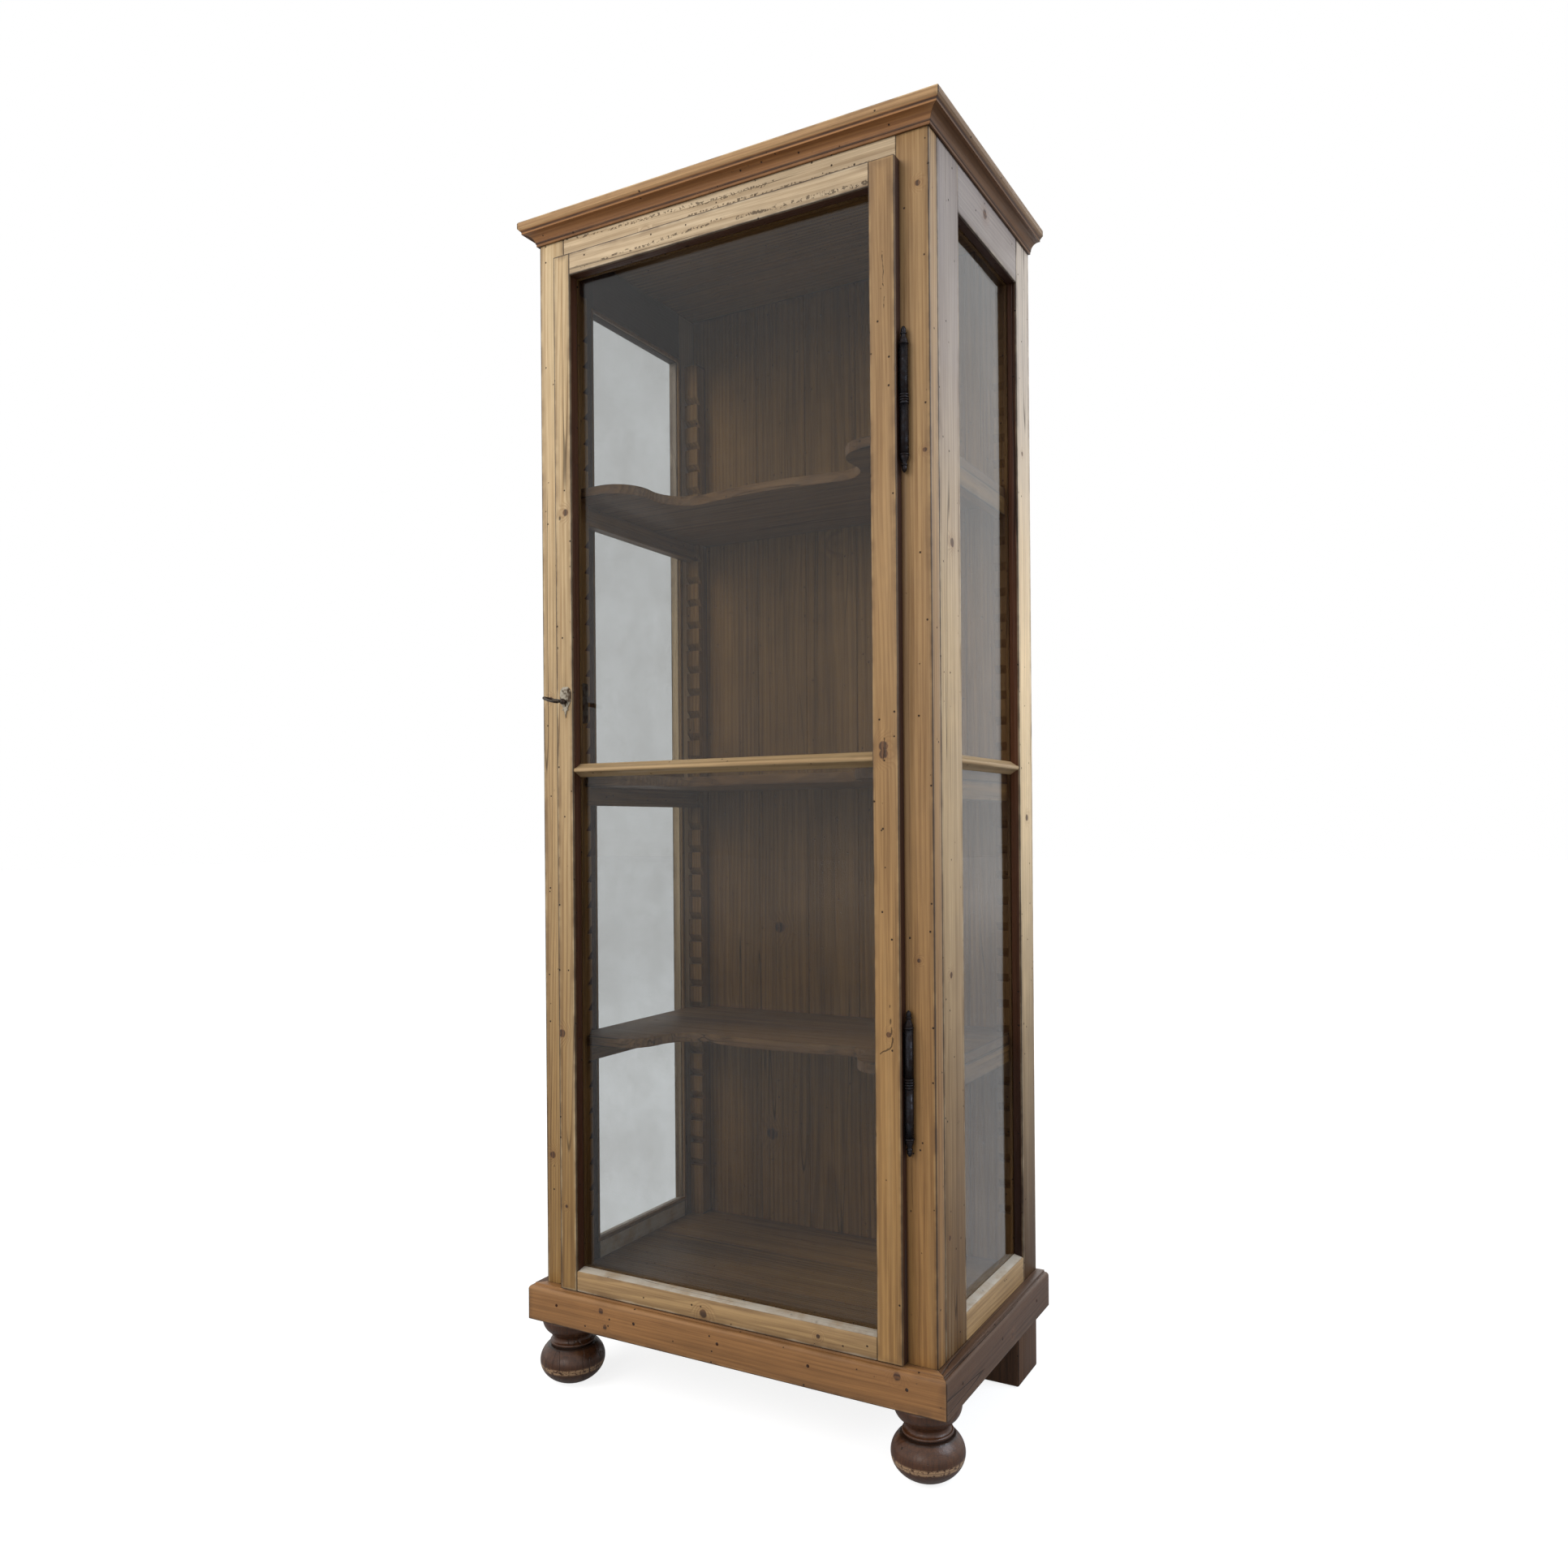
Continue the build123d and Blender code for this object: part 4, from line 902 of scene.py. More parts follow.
@dataclass
class Workshop:
    """Dresses the frame's nodes, and keeps count of the pieces it has made."""

    count: int = 0
    weld: float = 0.00001
    flat_angle: float = math.radians(0.5)
    arris_angle: float = math.radians(35)

    def plain(self, node: str, finish: Finish) -> None:
        """Keep a node's own shape and give it a finish.

        Args:
            node: The node.
            finish: Its finish.
        """
        self.count += 1
        low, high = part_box(node)
        carried = frame["nodes"][node]
        material = finish.material(node, low, high, self.count)
        carried.data.materials.clear()
        carried.data.materials.append(material)
        LOG.info("%s keeps its shape, finish %s", node, material.name)

    def eased(self, node: str, finish: Finish, arris: float = 0.0012, smooth: float = 30.0) -> bpy.types.Object:
        """Replace a node by a copy with its arrises rubbed down.

        Args:
            node: The node.
            finish: The copy's finish.
            arris: The width of the rubbed arris in metres, or 0 for a turned piece.
            smooth: The angle in degrees up to which neighbouring faces are shaded as one.

        Returns:
            The copy.
        """
        self.count += 1
        low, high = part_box(node)
        source = frame["nodes"][node]
        shape = bmesh.new()
        shape.from_mesh(source.data)
        bmesh.ops.remove_doubles(shape, verts=shape.verts, dist=self.weld)
        if arris > 0:
            bmesh.ops.dissolve_limit(
                shape, angle_limit=self.flat_angle, verts=shape.verts, edges=shape.edges, use_dissolve_boundaries=False
            )
            sharp = [
                edge for edge in shape.edges if len(edge.link_faces) == 2 and edge.calc_face_angle() > self.arris_angle
            ]
            bmesh.ops.bevel(
                shape, geom=sharp, offset=arris, offset_type="OFFSET", segments=2, profile=0.5,
                affect="EDGES", clamp_overlap=True,
            )
        shape.normal_update()
        mesh = poured(shape, f"worn_{node}")
        mesh.shade_smooth()
        mesh.set_sharp_from_angle(angle=math.radians(smooth))
        mesh.materials.clear()
        mesh.materials.append(finish.material(node, low, high, self.count))
        copy = placed(f"worn_{node}", mesh)
        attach(copy, source["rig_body"])
        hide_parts(node)
        LOG.info("%s replaces %s with %d faces", copy.name, node, len(mesh.polygons))
        return copy


@dataclass
class FaceFrame:
    """The front frame of the carcass: two stiles, the frieze and the bottom rail."""

    arris: float = 0.0011

    def build(self, shop: Workshop) -> None:
        """Dress the four pieces."""
        left = (Knot(-0.334, -FRAME_FACE, 0.373, 0.006), Knot(-0.331, -FRAME_FACE, 1.12, 0.004))
        right = (
            Knot(0.338, -FRAME_FACE, 1.423, 0.0035),
            Knot(0.323, -FRAME_FACE, 0.722, 0.003),
            Knot(0.33, -FRAME_FACE, 1.79, 0.0045),
        )
        frieze = (Knot(-0.133, -FRAME_FACE, 1.832, 0.006),)
        tracks = (
            Split((-0.27, -FRAME_FACE, 1.861), (0.1, -FRAME_FACE, 1.852), 0.0032, 0.53),
            Split((-0.05, -FRAME_FACE, 1.842), (0.27, -FRAME_FACE, 1.838), 0.003, 0.52),
        )
        shop.eased("face_stile_left", Pine(HONEY, Grain.UPRIGHT, Cut.RIFT, Show.NONE, left), self.arris)
        shop.eased("face_stile_right", Pine(AMBER, Grain.UPRIGHT, Cut.RIFT, Show.NONE, right, rings=0.5), self.arris)
        shop.eased("frieze_rail", Pine(FRIEZE, Grain.ACROSS, Cut.PLAIN, Show.FRONT, frieze, tracks), self.arris)
        shop.eased("bottom_rail", Pine(AMBER, Grain.ACROSS, Cut.RIFT, Show.FRONT), self.arris)


@dataclass
class SideFrames:
    """The glazed side frames."""

    arris: float = 0.0011
    sheen: float = 0.35

    def build(self, shop: Workshop) -> None:
        """Dress both sides, wood first and then the glass."""
        for side, show, sign in (("right", Show.RIGHT, 1), ("left", Show.LEFT, -1)):
            x = SIDE_FACE * sign
            stile = (Knot(x, -0.118, 0.697, 0.005), Knot(x, -0.102, 1.31, 0.007), Knot(x, -0.13, 0.33, 0.004))
            rear = (Knot(x, 0.214, 0.92, 0.006), Knot(x, 0.205, 1.52, 0.004))
            rail = (Knot(x, 0.04, 1.84, 0.008),)
            rear_show = show if side == "right" else Show.NONE
            # The side tones carry painted shade low down and a painted reflection near the top; the rear stiles' tone
            # also a painted sheen at mid-height.
            front_pine = Pine(FLANK, Grain.UPRIGHT, Cut.RIFT, show, stile, rings=0.7, sheen=self.sheen)
            rear_pine = Pine(FLANK_REAR_SHEEN, Grain.UPRIGHT, Cut.PLAIN, rear_show, rear, rings=0.6, sheen=self.sheen)
            rail_pine = Pine(FLANK, Grain.DEEP, Cut.PLAIN, show, rail, rings=0.6, sheen=self.sheen)
            prefix = f"side_{side}_"
            shop.eased(prefix + "front_stile", front_pine, self.arris)
            shop.eased(prefix + "rear_stile", rear_pine, self.arris)
            shop.eased(prefix + "top_rail", rail_pine, self.arris)
            shop.eased(prefix + "bottom_rail", SillPine(SILL, Grain.DEEP, Cut.RIFT, show), self.arris)
            shop.eased(prefix + "glazing_bar", Pine(HONEY, Grain.DEEP, Cut.RIFT, rings=0.6), FINE_ARRIS)
            shop.eased(prefix + "glazing_beads", Pine(INNER_SHADED, Grain.UPRIGHT, Cut.RIFT), FINE_ARRIS)
            shop.plain(prefix + "panes", OldGlass())


@dataclass
class Door:
    """The glazed door: two stiles, two rails, the bar, its beads and two panes."""

    arris: float = 0.0013

    def build(self, shop: Workshop) -> None:
        """Dress the frame and the glass."""
        lock = (
            Knot(-0.297, -DOOR_FACE, 0.578, 0.007),
            Knot(-0.282, -DOOR_FACE, 1.415, 0.006),
            Knot(-0.29, -DOOR_FACE, 0.3, 0.003),
        )
        hinge = (
            Knot(0.28, -DOOR_FACE, 1.018, 0.0075),
            Knot(0.28, -DOOR_FACE, 1.007, 0.0075),
            Knot(0.285, -DOOR_FACE, 0.62, 0.004),
        )
        sill = (Knot(-0.027, -DOOR_FACE, 0.177, 0.007), Knot(0.17, -DOOR_FACE, 0.182, 0.0035))
        cracks = (
            Split((0.287, -DOOR_FACE, 0.66), (0.29, -DOOR_FACE, 0.606), 0.0013),
            Split((0.29, -DOOR_FACE, 0.606), (0.272, -DOOR_FACE, 0.592), 0.0012),
            Split((0.282, -DOOR_FACE, 1.028), (0.279, -DOOR_FACE, 0.998), 0.001),
            Split((0.284, -DOOR_FACE, 1.7), (0.286, -DOOR_FACE, 1.62), 0.0008, 0.45),
        )
        tracks = (
            Split((-0.26, -DOOR_FACE, 1.802), (0.03, -DOOR_FACE, 1.81), 0.0028, 0.52),
            Split((0.05, -DOOR_FACE, 1.806), (0.262, -DOOR_FACE, 1.8), 0.0034, 0.5),
        )
        shop.eased("door_lock_stile", Pine(HONEY, Grain.UPRIGHT, Cut.RIFT, Show.DOOR, lock), self.arris)
        edge = Pine(DOOR_EDGE, Grain.UPRIGHT, Cut.RIFT, Show.DOOR, hinge, cracks, rings=0.5)
        shop.eased("door_hinge_stile", edge, self.arris)
        shop.eased("door_top_rail", Pine(FRIEZE, Grain.ACROSS, Cut.PLAIN, Show.DOOR, (), tracks), self.arris)
        shop.eased("door_bottom_rail", SillPine(SILL, Grain.ACROSS, Cut.PLAIN, Show.DOOR, sill), self.arris)
        shop.eased("door_glazing_bar", Pine(HONEY, Grain.ACROSS, Cut.RIFT, rings=0.6), FINE_ARRIS)
        shop.eased("door_glazing_beads", Pine(INNER_SHADED, Grain.UPRIGHT, Cut.RIFT), FINE_ARRIS)
        for pane in ("upper", "lower"):
            shop.plain(f"door_pane_{pane}", OldGlass())


@dataclass
class Mouldings:
    """The cornice and the plinth, each on three sides."""

    cornice_arris: float = 0.0005
    plinth_arris: float = 0.0008

    def build(self, shop: Workshop) -> None:
        """Dress the six mouldings."""
        plinth_knots = (
            Knot(0.295, -PLINTH_FACE, 0.153, 0.006),
            Knot(-0.219, -PLINTH_FACE, 0.146, 0.005),
            Knot(-0.211, -PLINTH_FACE, 0.122, 0.004),
        )
        crown = MouldedPine(CROWN, Grain.ACROSS, Cut.QUARTER, Show.CROWN_FRONT, rings=0.6)
        shop.eased("cornice_front", crown, self.cornice_arris)
        shop.eased("plinth_front", Pine(BASE, Grain.ACROSS, Cut.RIFT, knots=plinth_knots, rings=0.4), self.plinth_arris)
        for side, show, sign in (("left", Show.CROWN_LEFT, -1), ("right", Show.CROWN_RIGHT, 1)):
            # The cornice sides take the cornice's pine darkened as painted shade.
            crown = MouldedPine(CROWN_SHADED_SIDE, Grain.DEEP, Cut.QUARTER, show, rings=0.5, sheen=0.25)
            shop.eased(f"cornice_{side}", crown, self.cornice_arris)
            side_knot = (Knot(PLINTH_FLANK * sign, 0.066, 0.126, 0.006),)
            # The plinth sides take the plinth's pine darkened as painted shade.
            base = Pine(BASE_SHADED, Grain.DEEP, Cut.RIFT, knots=side_knot, rings=0.4, sheen=0.4)
            shop.eased(f"plinth_{side}", base, self.plinth_arris)


@dataclass
class BoardWork:
    """The top, the floor, the back planks and the rough timber under them."""

    arris: float = 0.0009
    first_joint: float = -0.1805
    joint_step: float = 0.104
    joints: int = 5
    tongue_half: float = 0.003
    tongue_depth: tuple[float, float] = (0.234, 0.237)
    tongue_short: float = 0.004
    plank_rings: float = 0.008

    def tongues(self, shop: Workshop) -> None:
        """Make the loose tongues that close the joints between the back planks."""
        low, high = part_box("back_planks")
        shape = bmesh.new()
        near, far = self.tongue_depth
        for number in range(self.joints):
            x = self.first_joint + number * self.joint_step
            size = Matrix.Diagonal((2 * self.tongue_half, far - near, high.z - low.z - self.tongue_short, 1.0))
            middle = Matrix.Translation((x, (near + far) / 2, (low.z + high.z) / 2))
            bmesh.ops.create_cube(shape, size=1.0, matrix=middle @ size)
        mesh = poured(shape, "plank_tongues")
        shop.count += 1
        finish = Pine(SHELF_SHADED, Grain.UPRIGHT, holes=0.0)
        mesh.materials.append(finish.material("plank_tongues", low, high, shop.count))
        strips = placed("plank_tongues", mesh)
        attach(strips, "carcass")
        LOG.info("plank_tongues: %d faces", len(mesh.polygons))

    def build(self, shop: Workshop) -> None:
        """Dress the boards."""
        self.tongues(shop)
        back = (
            Knot(-0.137, BACK_INSIDE, 0.721, 0.011),
            Knot(-0.157, BACK_INSIDE, 0.335, 0.012),
            Knot(0.07, BACK_INSIDE, 1.21, 0.009),
            Knot(0.19, BACK_FACE, 0.92, 0.012),
            Knot(-0.02, BACK_FACE, 1.42, 0.01),
            Knot(-0.24, BACK_FACE, 0.55, 0.013),
        )
        top = (Knot(0.12, -0.08, TOP_FACE, 0.012), Knot(-0.2, 0.15, TOP_FACE, 0.01))
        rings = self.plank_rings
        shop.eased("back_planks", Pine(INNER_SHADED, Grain.UPRIGHT, Cut.PLAIN, knots=back, spacing=rings), FINE_ARRIS)
        shop.eased("top_boards", Pine(INNER_SHADED, Grain.ACROSS, Cut.PLAIN, knots=top, spacing=rings), self.arris)
        shop.eased("floor_boards", Pine(INNER_SHADED, Grain.ACROSS, Cut.PLAIN, spacing=rings), self.arris)
        shop.eased("floor_bearers", Pine(BASE, Grain.DEEP), self.arris)
        shop.eased("base_rail_back", Pine(BASE, Grain.ACROSS), self.arris)
        shop.eased("corner_blocks", Pine(BASE, Grain.UPRIGHT), self.arris)


@dataclass
class Feet:
    """Two turned bun feet in front and two block feet behind."""

    arris: float = 0.0015

    def build(self, shop: Workshop) -> None:
        """Dress the four feet."""
        bun = TurnedPine(TURNED, Grain.UPRIGHT, Cut.PLAIN, rings=0.35, sheen=0.45, polish=0.35)
        # The rear feet take the plinth's pine darkened as painted shade.
        block = Pine(BASE_SHADED, Grain.UPRIGHT, Cut.PLAIN, rings=0.6, sheen=0.25)
        for side in ("left", "right"):
            shop.eased(f"bun_foot_{side}", bun, 0.0, TURNED_SMOOTH)
            shop.eased(f"rear_foot_{side}", block, self.arris)


class GeometryTree:
    """A geometry node tree with named inputs, used once for each object it makes."""

    def __init__(self, name: str, inputs: dict[str, str]) -> None:
        """Open the tree with its inputs.

        Args:
            name: The tree's name.
            inputs: The kind of each input by name.
        """
        self.tree = bpy.data.node_groups.new(name, "GeometryNodeTree")
        self.graph = Graph(self.tree)
        for label, kind in inputs.items():
            self.tree.interface.new_socket(name=label, in_out="INPUT", socket_type=f"NodeSocket{kind}")
        self.tree.interface.new_socket(name="Geometry", in_out="OUTPUT", socket_type="NodeSocketGeometry")
        self.given = self.graph.node("NodeGroupInput").outputs

    def close(self, shape: Socket) -> None:
        """End the tree: real geometry, its material, and the output."""
        real = self.graph.result("GeometryNodeRealizeInstances", {0: shape})
        dressed = self.graph.node("GeometryNodeSetMaterial", {"Geometry": real, "Material": self.given["Material"]})
        self.graph.node("NodeGroupOutput", {0: dressed.outputs[0]})

    def bake(self, name: str, values: dict[str, object]) -> bpy.types.Mesh:
        """Run the tree with these values, and keep the result as a plain mesh.

        Args:
            name: The name of the mesh.
            values: The value of each input by name.

        Returns:
            The mesh, with no modifier behind it.
        """
        carrier = placed(f"{name}_carrier", bpy.data.meshes.new(f"{name}_carrier"))
        modifier = carrier.modifiers.new(name, "NODES")
        modifier.node_group = self.tree
        for item in self.tree.interface.items_tree:
            if item.item_type == "SOCKET" and item.in_out == "INPUT" and item.name in values:
                modifier[item.identifier] = values[item.name]
        carrier.update_tag()
        bpy.context.view_layer.update()
        baked = carrier.evaluated_get(bpy.context.evaluated_depsgraph_get())
        mesh = bpy.data.meshes.new_from_object(baked)
        mesh.name = name
        carrier.modifiers.clear()
        bpy.data.objects.remove(carrier)
        return mesh


@dataclass
class ToothedRacks:
    """The four toothed racks: one notch repeated up each, cut by a rule."""

    size: float = 0.028
    foot: float = 0.172
    head: float = 1.790
    first_seat: float = 0.2628
    pitch: float = 0.0427
    notches: int = 35
    depth: float = 0.012
    mouth: float = 0.014
    front_face: float = -0.120
    back_face: float = 0.200
    inner_x: float = 0.323

    def tree(self) -> GeometryTree:
        """Build the rule: the rack's outline point by point, filled, thickened and set in place twice."""
        kinds = {
            "Notches": "Int",
            "Pitch": "Float",
            "First Seat": "Float",
            "Notch Depth": "Float",
            "Notch Mouth": "Float",
            "Rack Size": "Float",
            "Foot Height": "Float",
            "Head Height": "Float",
            "Front Place": "Vector",
            "Back Place": "Vector",
            "Material": "Material",
        }
        made = GeometryTree("toothed_rack", kinds)
        graph, given = made.graph, made.given
        teeth = graph.times(given["Notches"], 3.0)
        line = graph.node("GeometryNodeMeshLine", {"Count": graph.plus(teeth, 4.0)})
        index = graph.result("GeometryNodeInputIndex")
        number = graph.math("FLOOR", graph.math("DIVIDE", graph.plus(index, 0.5), 3.0))
        step = graph.minus(index, graph.times(number, 3.0))
        at_root = graph.math("COMPARE", step, 1.0, 0.1)
        at_roof = graph.math("COMPARE", step, 2.0, 0.1)
        seat = graph.scaled(number, given["Pitch"], given["First Seat"])
        tooth_y = graph.scaled(at_roof, given["Notch Mouth"], seat)
        tooth_x = graph.times(at_root, given["Notch Depth"])
        in_teeth = graph.math("LESS_THAN", index, graph.minus(teeth, 0.5))
        corner = graph.minus(index, teeth)
        outer = graph.math("COMPARE", corner, 1.5, 0.6)
        at_head = graph.math("LESS_THAN", corner, 1.5)
        corner_x = graph.times(outer, given["Rack Size"])
        rise = graph.minus(given["Head Height"], given["Foot Height"])
        corner_y = graph.scaled(at_head, rise, given["Foot Height"])
        beyond = graph.minus(1.0, in_teeth)
        x = graph.scaled(in_teeth, tooth_x, graph.times(beyond, corner_x))
        y = graph.scaled(in_teeth, tooth_y, graph.times(beyond, corner_y))
        spot = graph.result("ShaderNodeCombineXYZ", {0: x, 1: y})
        outline = graph.result("GeometryNodeSetPosition", {"Geometry": line.outputs[0], "Position": spot})
        curve = graph.result("GeometryNodeMeshToCurve", {0: outline})
        closed = graph.result("GeometryNodeSetSplineCyclic", {"Geometry": curve, "Cyclic": True})
        face = graph.result("GeometryNodeFillCurve", {0: closed})
        push = graph.result("ShaderNodeCombineXYZ", {2: given["Rack Size"]})
        raised = graph.result(
            "GeometryNodeExtrudeMesh", {"Mesh": face, "Offset": push, "Offset Scale": 1.0, "Individual": False}
        )
        base = graph.result("GeometryNodeFlipFaces", {0: face})
        both = graph.node("GeometryNodeJoinGeometry")
        graph.put(both.inputs[0], raised)
        graph.put(both.inputs[0], base)
        solid = graph.result("GeometryNodeMergeByDistance", {"Geometry": both.outputs[0], "Distance": 0.00001})
        reach = graph.vector("SUBTRACT", given["Back Place"], given["Front Place"])
        places = graph.result(
            "GeometryNodeMeshLine", {"Count": 2, "Start Location": given["Front Place"], "Offset": reach}
        )
        which = graph.result("GeometryNodeInputIndex")
        turn = graph.scaled(which, math.pi, -math.pi / 2)
        facing = graph.result("ShaderNodeCombineXYZ", {0: math.pi / 2, 2: turn})
        pair = graph.result(
            "GeometryNodeInstanceOnPoints", {"Points": places, "Instance": solid, "Rotation": facing}
        )
        made.close(pair)
        return made

    def build(self, shop: Workshop) -> None:
        """Make both pairs of racks."""
        tree = self.tree()
        for side, front_x, back_x in (
            ("right", self.inner_x, self.inner_x - self.size),
            ("left", self.size - self.inner_x, -self.inner_x),
        ):
            node = f"racks_{side}"
            shop.count += 1
            low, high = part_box(node)
            material = Pine(INNER_SHADED, Grain.UPRIGHT, Cut.RIFT, rings=0.7).material(node, low, high, shop.count)
            values = {
                "Notches": self.notches,
                "Pitch": self.pitch,
                "First Seat": self.first_seat,
                "Notch Depth": self.depth,
                "Notch Mouth": self.mouth,
                "Rack Size": self.size,
                "Foot Height": self.foot,
                "Head Height": self.head,
                "Front Place": (front_x, self.front_face, 0.0),
                "Back Place": (back_x, self.back_face, 0.0),
                "Material": material,
            }
            mesh = tree.bake(f"toothed_{node}", values)
            shape = bmesh.new()
            shape.from_mesh(mesh)
            bmesh.ops.recalc_face_normals(shape, faces=shape.faces)
            shape.to_mesh(mesh)
            shape.free()
            rack = placed(f"toothed_{node}", mesh)
            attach(rack, "carcass")
            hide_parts(node)
            LOG.info("%s stands for %s with %d faces", rack.name, node, len(mesh.polygons))


@dataclass
class Shelves:
    """Three serpentine shelves and the wedge-ended cleats that carry them."""

    arris: float = 0.0016
    cleat_arris: float = 0.0008
    rings: float = 0.007

    def build(self, shop: Workshop) -> None:
        """Dress the shelves and their cleats."""
        for name in ("lower", "middle", "upper"):
            shop.eased(f"shelf_cleats_{name}", Pine(INNER_SHADED, Grain.DEEP), self.cleat_arris)
            shop.eased(f"shelf_{name}", Pine(SHELF_SHADED, Grain.ACROSS, Cut.PLAIN, spacing=self.rings), self.arris)


@dataclass
class Ironwork:
    """The hinges, the lock, its bolt and key, and the plates."""

    bolt_arris: float = 0.0004
    plate_arris: float = 0.0003

    def build(self, shop: Workshop) -> None:
        """Dress the metal pieces."""
        for node in ("hinge_door_halves", "hinge_frame_halves", "hinge_pins"):
            shop.eased(node, IRON, 0.0, TURNED_SMOOTH)
        shop.eased("key", STEEL, 0.0, TURNED_SMOOTH)
        shop.eased("lock_bolt", STEEL, self.bolt_arris)
        shop.eased("lock_case", CASE, FINE_ARRIS)
        shop.eased("strike_plate", PLATE, self.plate_arris)
        shop.eased("escutcheon", PLATE, self.plate_arris)


@dataclass(frozen=True)
class Row:
    """A straight row of heads: its first place, the step between heads, how many, and the way they face."""

    start: Triple
    step: Triple
    count: int
    facing: Triple


@dataclass
class Fastenings:
    """Nail heads in the carcass, pins in the escutcheon and screws in the lock case."""

    nail_radius: float = 0.0026
    nail_height: float = 0.0005
    pin_radius: float = 0.0013
    pin_height: float = 0.0009
    screw_radius: float = 0.0021
    screw_height: float = 0.0008
    crown_share: float = 0.62
    tilt: float = 0.09
    seed: int = 7

    back_heights: Triple = (0.146, 1.003, 1.872)
    plank_starts: tuple[float, ...] = (-0.30, -0.153, -0.049, 0.055, 0.159, 0.263)
    top_depths: tuple[float, ...] = (-0.16, -0.044, 0.02, 0.11, 0.16, 0.232)
    top_height: float = 1.9003
    plate_front: float = 0.1957
    case_back: float = 0.154

    front: Triple = (math.pi / 2, 0.0, 0.0)
    rear: Triple = (-math.pi / 2, 0.0, 0.0)
    right: Triple = (0.0, math.pi / 2, 0.0)
    left: Triple = (0.0, -math.pi / 2, 0.0)
    up: Triple = (0.0, 0.0, 0.0)

    def tree(self) -> GeometryTree:
        """Build the row of heads: low domes on a line, each a little turned and tilted."""
        kinds = {
            "Start": "Vector",
            "Step": "Vector",
            "Count": "Int",
            "Facing": "Vector",
            "Head Radius": "Float",
            "Head Height": "Float",
            "Seed": "Int",
            "Material": "Material",
        }
        made = GeometryTree("row_of_heads", kinds)
        graph, given = made.graph, made.given
        line = graph.result(
            "GeometryNodeMeshLine", {"Count": given["Count"], "Start Location": given["Start"], "Offset": given["Step"]}
        )
        rim = graph.times(given["Head Radius"], self.crown_share)
        head = graph.result(
            "GeometryNodeMeshCone",
            {"Vertices": 12, "Radius Top": rim, "Radius Bottom": given["Head Radius"], "Depth": given["Head Height"]},
        )
        chance = graph.node("FunctionNodeRandomValue", data_type="FLOAT_VECTOR")
        graph.put(chance.inputs[0], (-self.tilt,) * 3)
        graph.put(chance.inputs[1], (self.tilt,) * 3)
        graph.put(chance.inputs["Seed"], given["Seed"])
        facing = graph.vector("ADD", given["Facing"], chance.outputs[0])
        row = graph.result(
            "GeometryNodeInstanceOnPoints", {"Points": line, "Instance": head, "Rotation": facing}
        )
        made.close(row)
        return made

    def carcass_rows(self) -> list[Row]:
        """The rows of nails in the carcass."""
        rows = []
        for z in self.back_heights:
            for start in self.plank_starts:
                rows.append(Row((start, BACK_FACE, z), (0.042, 0.0, 0.0), 2, self.rear))
        rows.append(Row((-0.31, -PLINTH_FACE, 0.138), (0.155, 0.0, 0.0), 5, self.front))
        rows.append(Row((PLINTH_FLANK, -0.14, 0.136), (0.0, 0.16, 0.0), 3, self.right))
        rows.append(Row((-PLINTH_FLANK, -0.14, 0.136), (0.0, 0.16, 0.0), 3, self.left))
        for y in self.top_depths:
            rows.append(Row((-0.334, y, self.top_height), (0.668, 0.0, 0.0), 2, self.up))
        return rows

    def build(self, shop: Workshop) -> None:
        """Make one mesh of heads for the carcass and one for the door."""
        pins = [
            Row((-0.2906, -self.plate_front, 1.1295), (0.0132, 0.0, 0.0), 2, self.front),
            Row((-0.2885, -self.plate_front, 1.0985), (0.009, 0.0, 0.0), 2, self.front),
        ]
        screws = [
            Row((-0.2915, -self.case_back, 1.0835), (0.0178, 0.0, 0.0), 2, self.rear),
            Row((-0.2915, -self.case_back, 1.1385), (0.0178, 0.0, 0.0), 2, self.rear),
        ]
        nails = ("carcass_nails", "carcass", "iron", NAIL, self.carcass_rows(), self.nail_radius, self.nail_height)
        pins_set = ("escutcheon_pins", "door", "plate", PLATE, pins, self.pin_radius, self.pin_height)
        screw_set = ("lock_screws", "door", "iron", NAIL, screws, self.screw_radius, self.screw_height)
        tree = self.tree()
        for name, body, slot, finish, rows, radius, height in (nails, pins_set, screw_set):
            shop.count += 1
            material = finish.material(name, Vector(), Vector(), shop.count)
            shape = bmesh.new()
            for number, row in enumerate(rows):
                values = {
                    "Start": row.start,
                    "Step": row.step,
                    "Count": row.count,
                    "Facing": row.facing,
                    "Head Radius": radius,
                    "Head Height": height,
                    "Seed": self.seed + number,
                    "Material": material,
                }
                shape.from_mesh(tree.bake(f"{name}_{number}", values))
            mesh = poured(shape, name)
            mesh.materials.append(material)
            piece = placed(name, mesh)
            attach(piece, body)
            LOG.info("%s: %d faces", name, len(mesh.polygons))


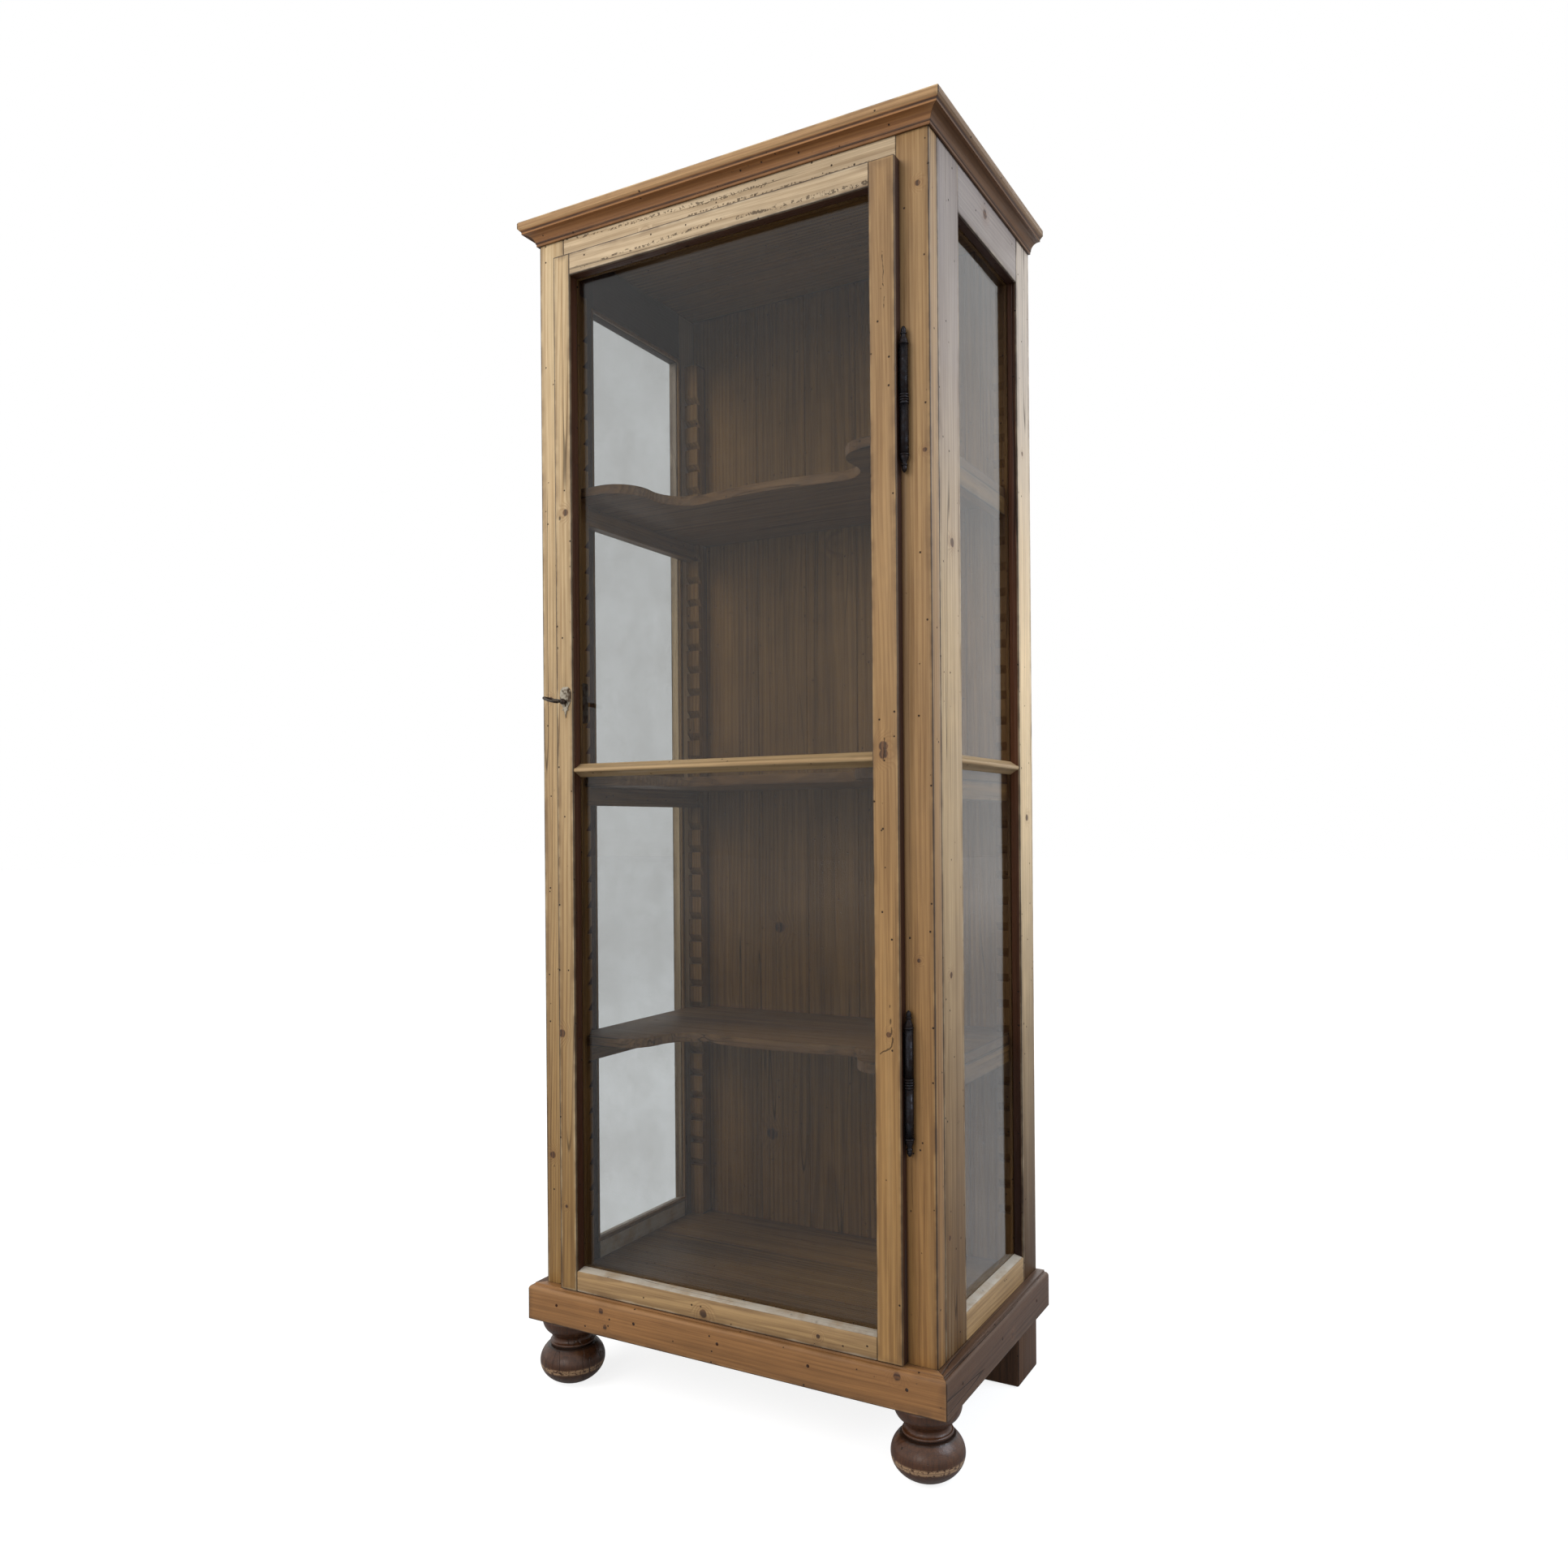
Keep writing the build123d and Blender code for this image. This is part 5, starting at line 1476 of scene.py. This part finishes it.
@dataclass
class Studio:
    """A plain pale floor, a white surround, soft lamps and the camera."""

    surround: float = 1.0
    ambient: float = 0.62
    floor_height: float = -0.0005
    floor_white: float = 0.82
    floor_gleam: float = 0.12
    floor_through: float = 0.92
    gleam_reach: tuple[float, float] = (2.0, 14.0)
    floor_greys: Ease = (0.0, 1.0, 0.36, 0.4)
    film_width: float = 36.0
    near_clip: float = 0.05
    lens: float = 27.085
    shift: tuple[float, float] = (-0.0260, 0.0276)
    station: Triple = (0.98275, -1.66377, 0.90601)
    yaw: float = -0.49606
    pitch: float = 0.00023
    roll: float = -0.00777

    def build(self) -> None:
        """Set up the room, the lamps and the camera."""
        self.surround_light()
        self.floor()
        self.lamp("key_lamp", (-1.9, -3.1, 3.0), (0.0, 0.0, 1.15), 2.4, 86.0, (1.0, 0.985, 0.96), False)
        self.lamp("front_lamp", (0.1, -4.2, 1.7), (0.2, 0.0, 1.0), 1.1, 20.0, (1.0, 0.99, 0.97))
        self.lamp("side_lamp", (3.2, 0.6, 2.9), (0.3, 0.0, 1.2), 2.2, 84.0, (0.76, 0.86, 1.0))
        self.lamp("rear_lamp", (-0.6, 3.4, 2.4), (0.0, 0.0, 1.1), 2.4, 34.0, (1.0, 1.0, 1.0))
        self.camera()
        bpy.context.scene.view_settings.view_transform = "Standard"

    def surround_light(self) -> None:
        """White where it is seen, mirrored or looked at through glass, and a plain grey light elsewhere."""
        world = bpy.data.worlds.new("surround")
        bpy.context.scene.world = world
        world.use_nodes = True
        graph = Graph(world.node_tree)
        path = graph.node("ShaderNodeLightPath").outputs
        seen = graph.most(path["Is Camera Ray"], path["Is Transmission Ray"])
        seen = graph.most(seen, path["Is Glossy Ray"])
        plain = graph.node("ShaderNodeBackground", {"Color": (0.97, 0.98, 1.0, 1.0), "Strength": self.ambient})
        white = graph.node("ShaderNodeBackground", {"Color": (1.0, 1.0, 1.0, 1.0), "Strength": self.surround})
        mixed = graph.node("ShaderNodeMixShader", {0: seen, 1: plain.outputs[0], 2: white.outputs[0]})
        graph.node("ShaderNodeOutputWorld", {0: mixed.outputs[0]})

    def floor(self) -> None:
        """A wide pale floor that keeps the cabinet's shadow."""
        shape = bmesh.new()
        bmesh.ops.create_grid(shape, x_segments=8, y_segments=8, size=30.0)
        mesh = poured(shape, "studio_floor")
        floor = placed("studio_floor", mesh)
        floor.location.z = self.floor_height
        material, graph, place = open_material("studio_floor")
        cloud = graph.span(graph.noise(place, 3.0, 3.0), *self.floor_greys)
        grey = graph.result("ShaderNodeCombineColor", {0: cloud, 1: cloud, 2: cloud})
        matt = graph.node("ShaderNodeBsdfDiffuse", {"Color": grey, "Roughness": 0.5})
        path = graph.node("ShaderNodeLightPath").outputs
        seen = graph.scaled(path["Is Transmission Ray"], self.floor_through, path["Is Camera Ray"])
        reach = graph.span(graph.vector("LENGTH", place), *self.gleam_reach, self.floor_gleam, 1.0)
        mirrored = graph.minus(path["Is Glossy Ray"], path["Is Transmission Ray"])
        mirrored = graph.times(graph.most(mirrored, 0.0), reach)
        seen = graph.plus(seen, mirrored)
        strength = graph.times(seen, self.floor_white)
        glow = graph.node("ShaderNodeEmission", {"Color": (1.0, 1.0, 1.0, 1.0), "Strength": strength})
        both = graph.node("ShaderNodeAddShader", {0: matt.outputs[0], 1: glow.outputs[0]})
        graph.node("ShaderNodeOutputMaterial", {"Surface": both.outputs[0]})
        mesh.materials.append(material)

    def lamp(
        self, name: str, place: Triple, target: Triple, size: float, power: float, colour: Triple, mirrored: bool = True
    ) -> None:
        """Hang one soft square lamp.

        Args:
            name: The lamp's name.
            place: Where it hangs.
            target: Where it points.
            size: The length of its side in metres.
            power: Its power in watts.
            colour: Its colour.
            mirrored: Whether gloss and glass show it.
        """
        light = bpy.data.lights.new(name, "AREA")
        light.size = size
        light.energy = power
        light.color = colour
        lamp = placed(name, light)
        lamp.location = place
        lamp.visible_glossy = mirrored
        lamp.visible_transmission = False
        lamp.rotation_euler = (Vector(target) - Vector(place)).to_track_quat("-Z", "Y").to_euler()

    def camera(self) -> None:
        """Stand the camera at the photograph's viewing angle."""
        data = bpy.data.cameras.new("camera")
        data.lens = self.lens
        data.sensor_width = self.film_width
        data.sensor_fit = "AUTO"
        data.shift_x, data.shift_y = self.shift
        data.clip_start = self.near_clip
        forward = Vector(
            (math.sin(self.yaw) * math.cos(self.pitch), math.cos(self.yaw) * math.cos(self.pitch), math.sin(self.pitch))
        )
        right = Vector((math.cos(self.yaw), -math.sin(self.yaw), 0.0))
        upward = right.cross(forward)
        tilted = right * math.cos(self.roll) + upward * math.sin(self.roll)
        lifted = tilted.cross(forward)
        turned = Matrix((tilted, lifted, -forward)).transposed().to_4x4()
        camera = placed("camera", data)
        camera.matrix_world = Matrix.Translation(self.station) @ turned
        bpy.context.scene.camera = camera


def main() -> None:
    """Build the cabinet's pieces in order, then the studio round it."""
    logging.basicConfig(level=logging.INFO, format="%(name)s: %(message)s")
    PinePattern().build()
    shop = Workshop()
    parts = (FaceFrame(), SideFrames(), Door(), Mouldings(), BoardWork(), Feet(), ToothedRacks(), Shelves(), Ironwork())
    for part in parts:
        part.build(shop)
        LOG.info("%s done", type(part).__name__)
    Fastenings().build(shop)
    Studio().build()
    LOG.info("%d pieces dressed", shop.count)


if __name__ == "__main__":
    main()
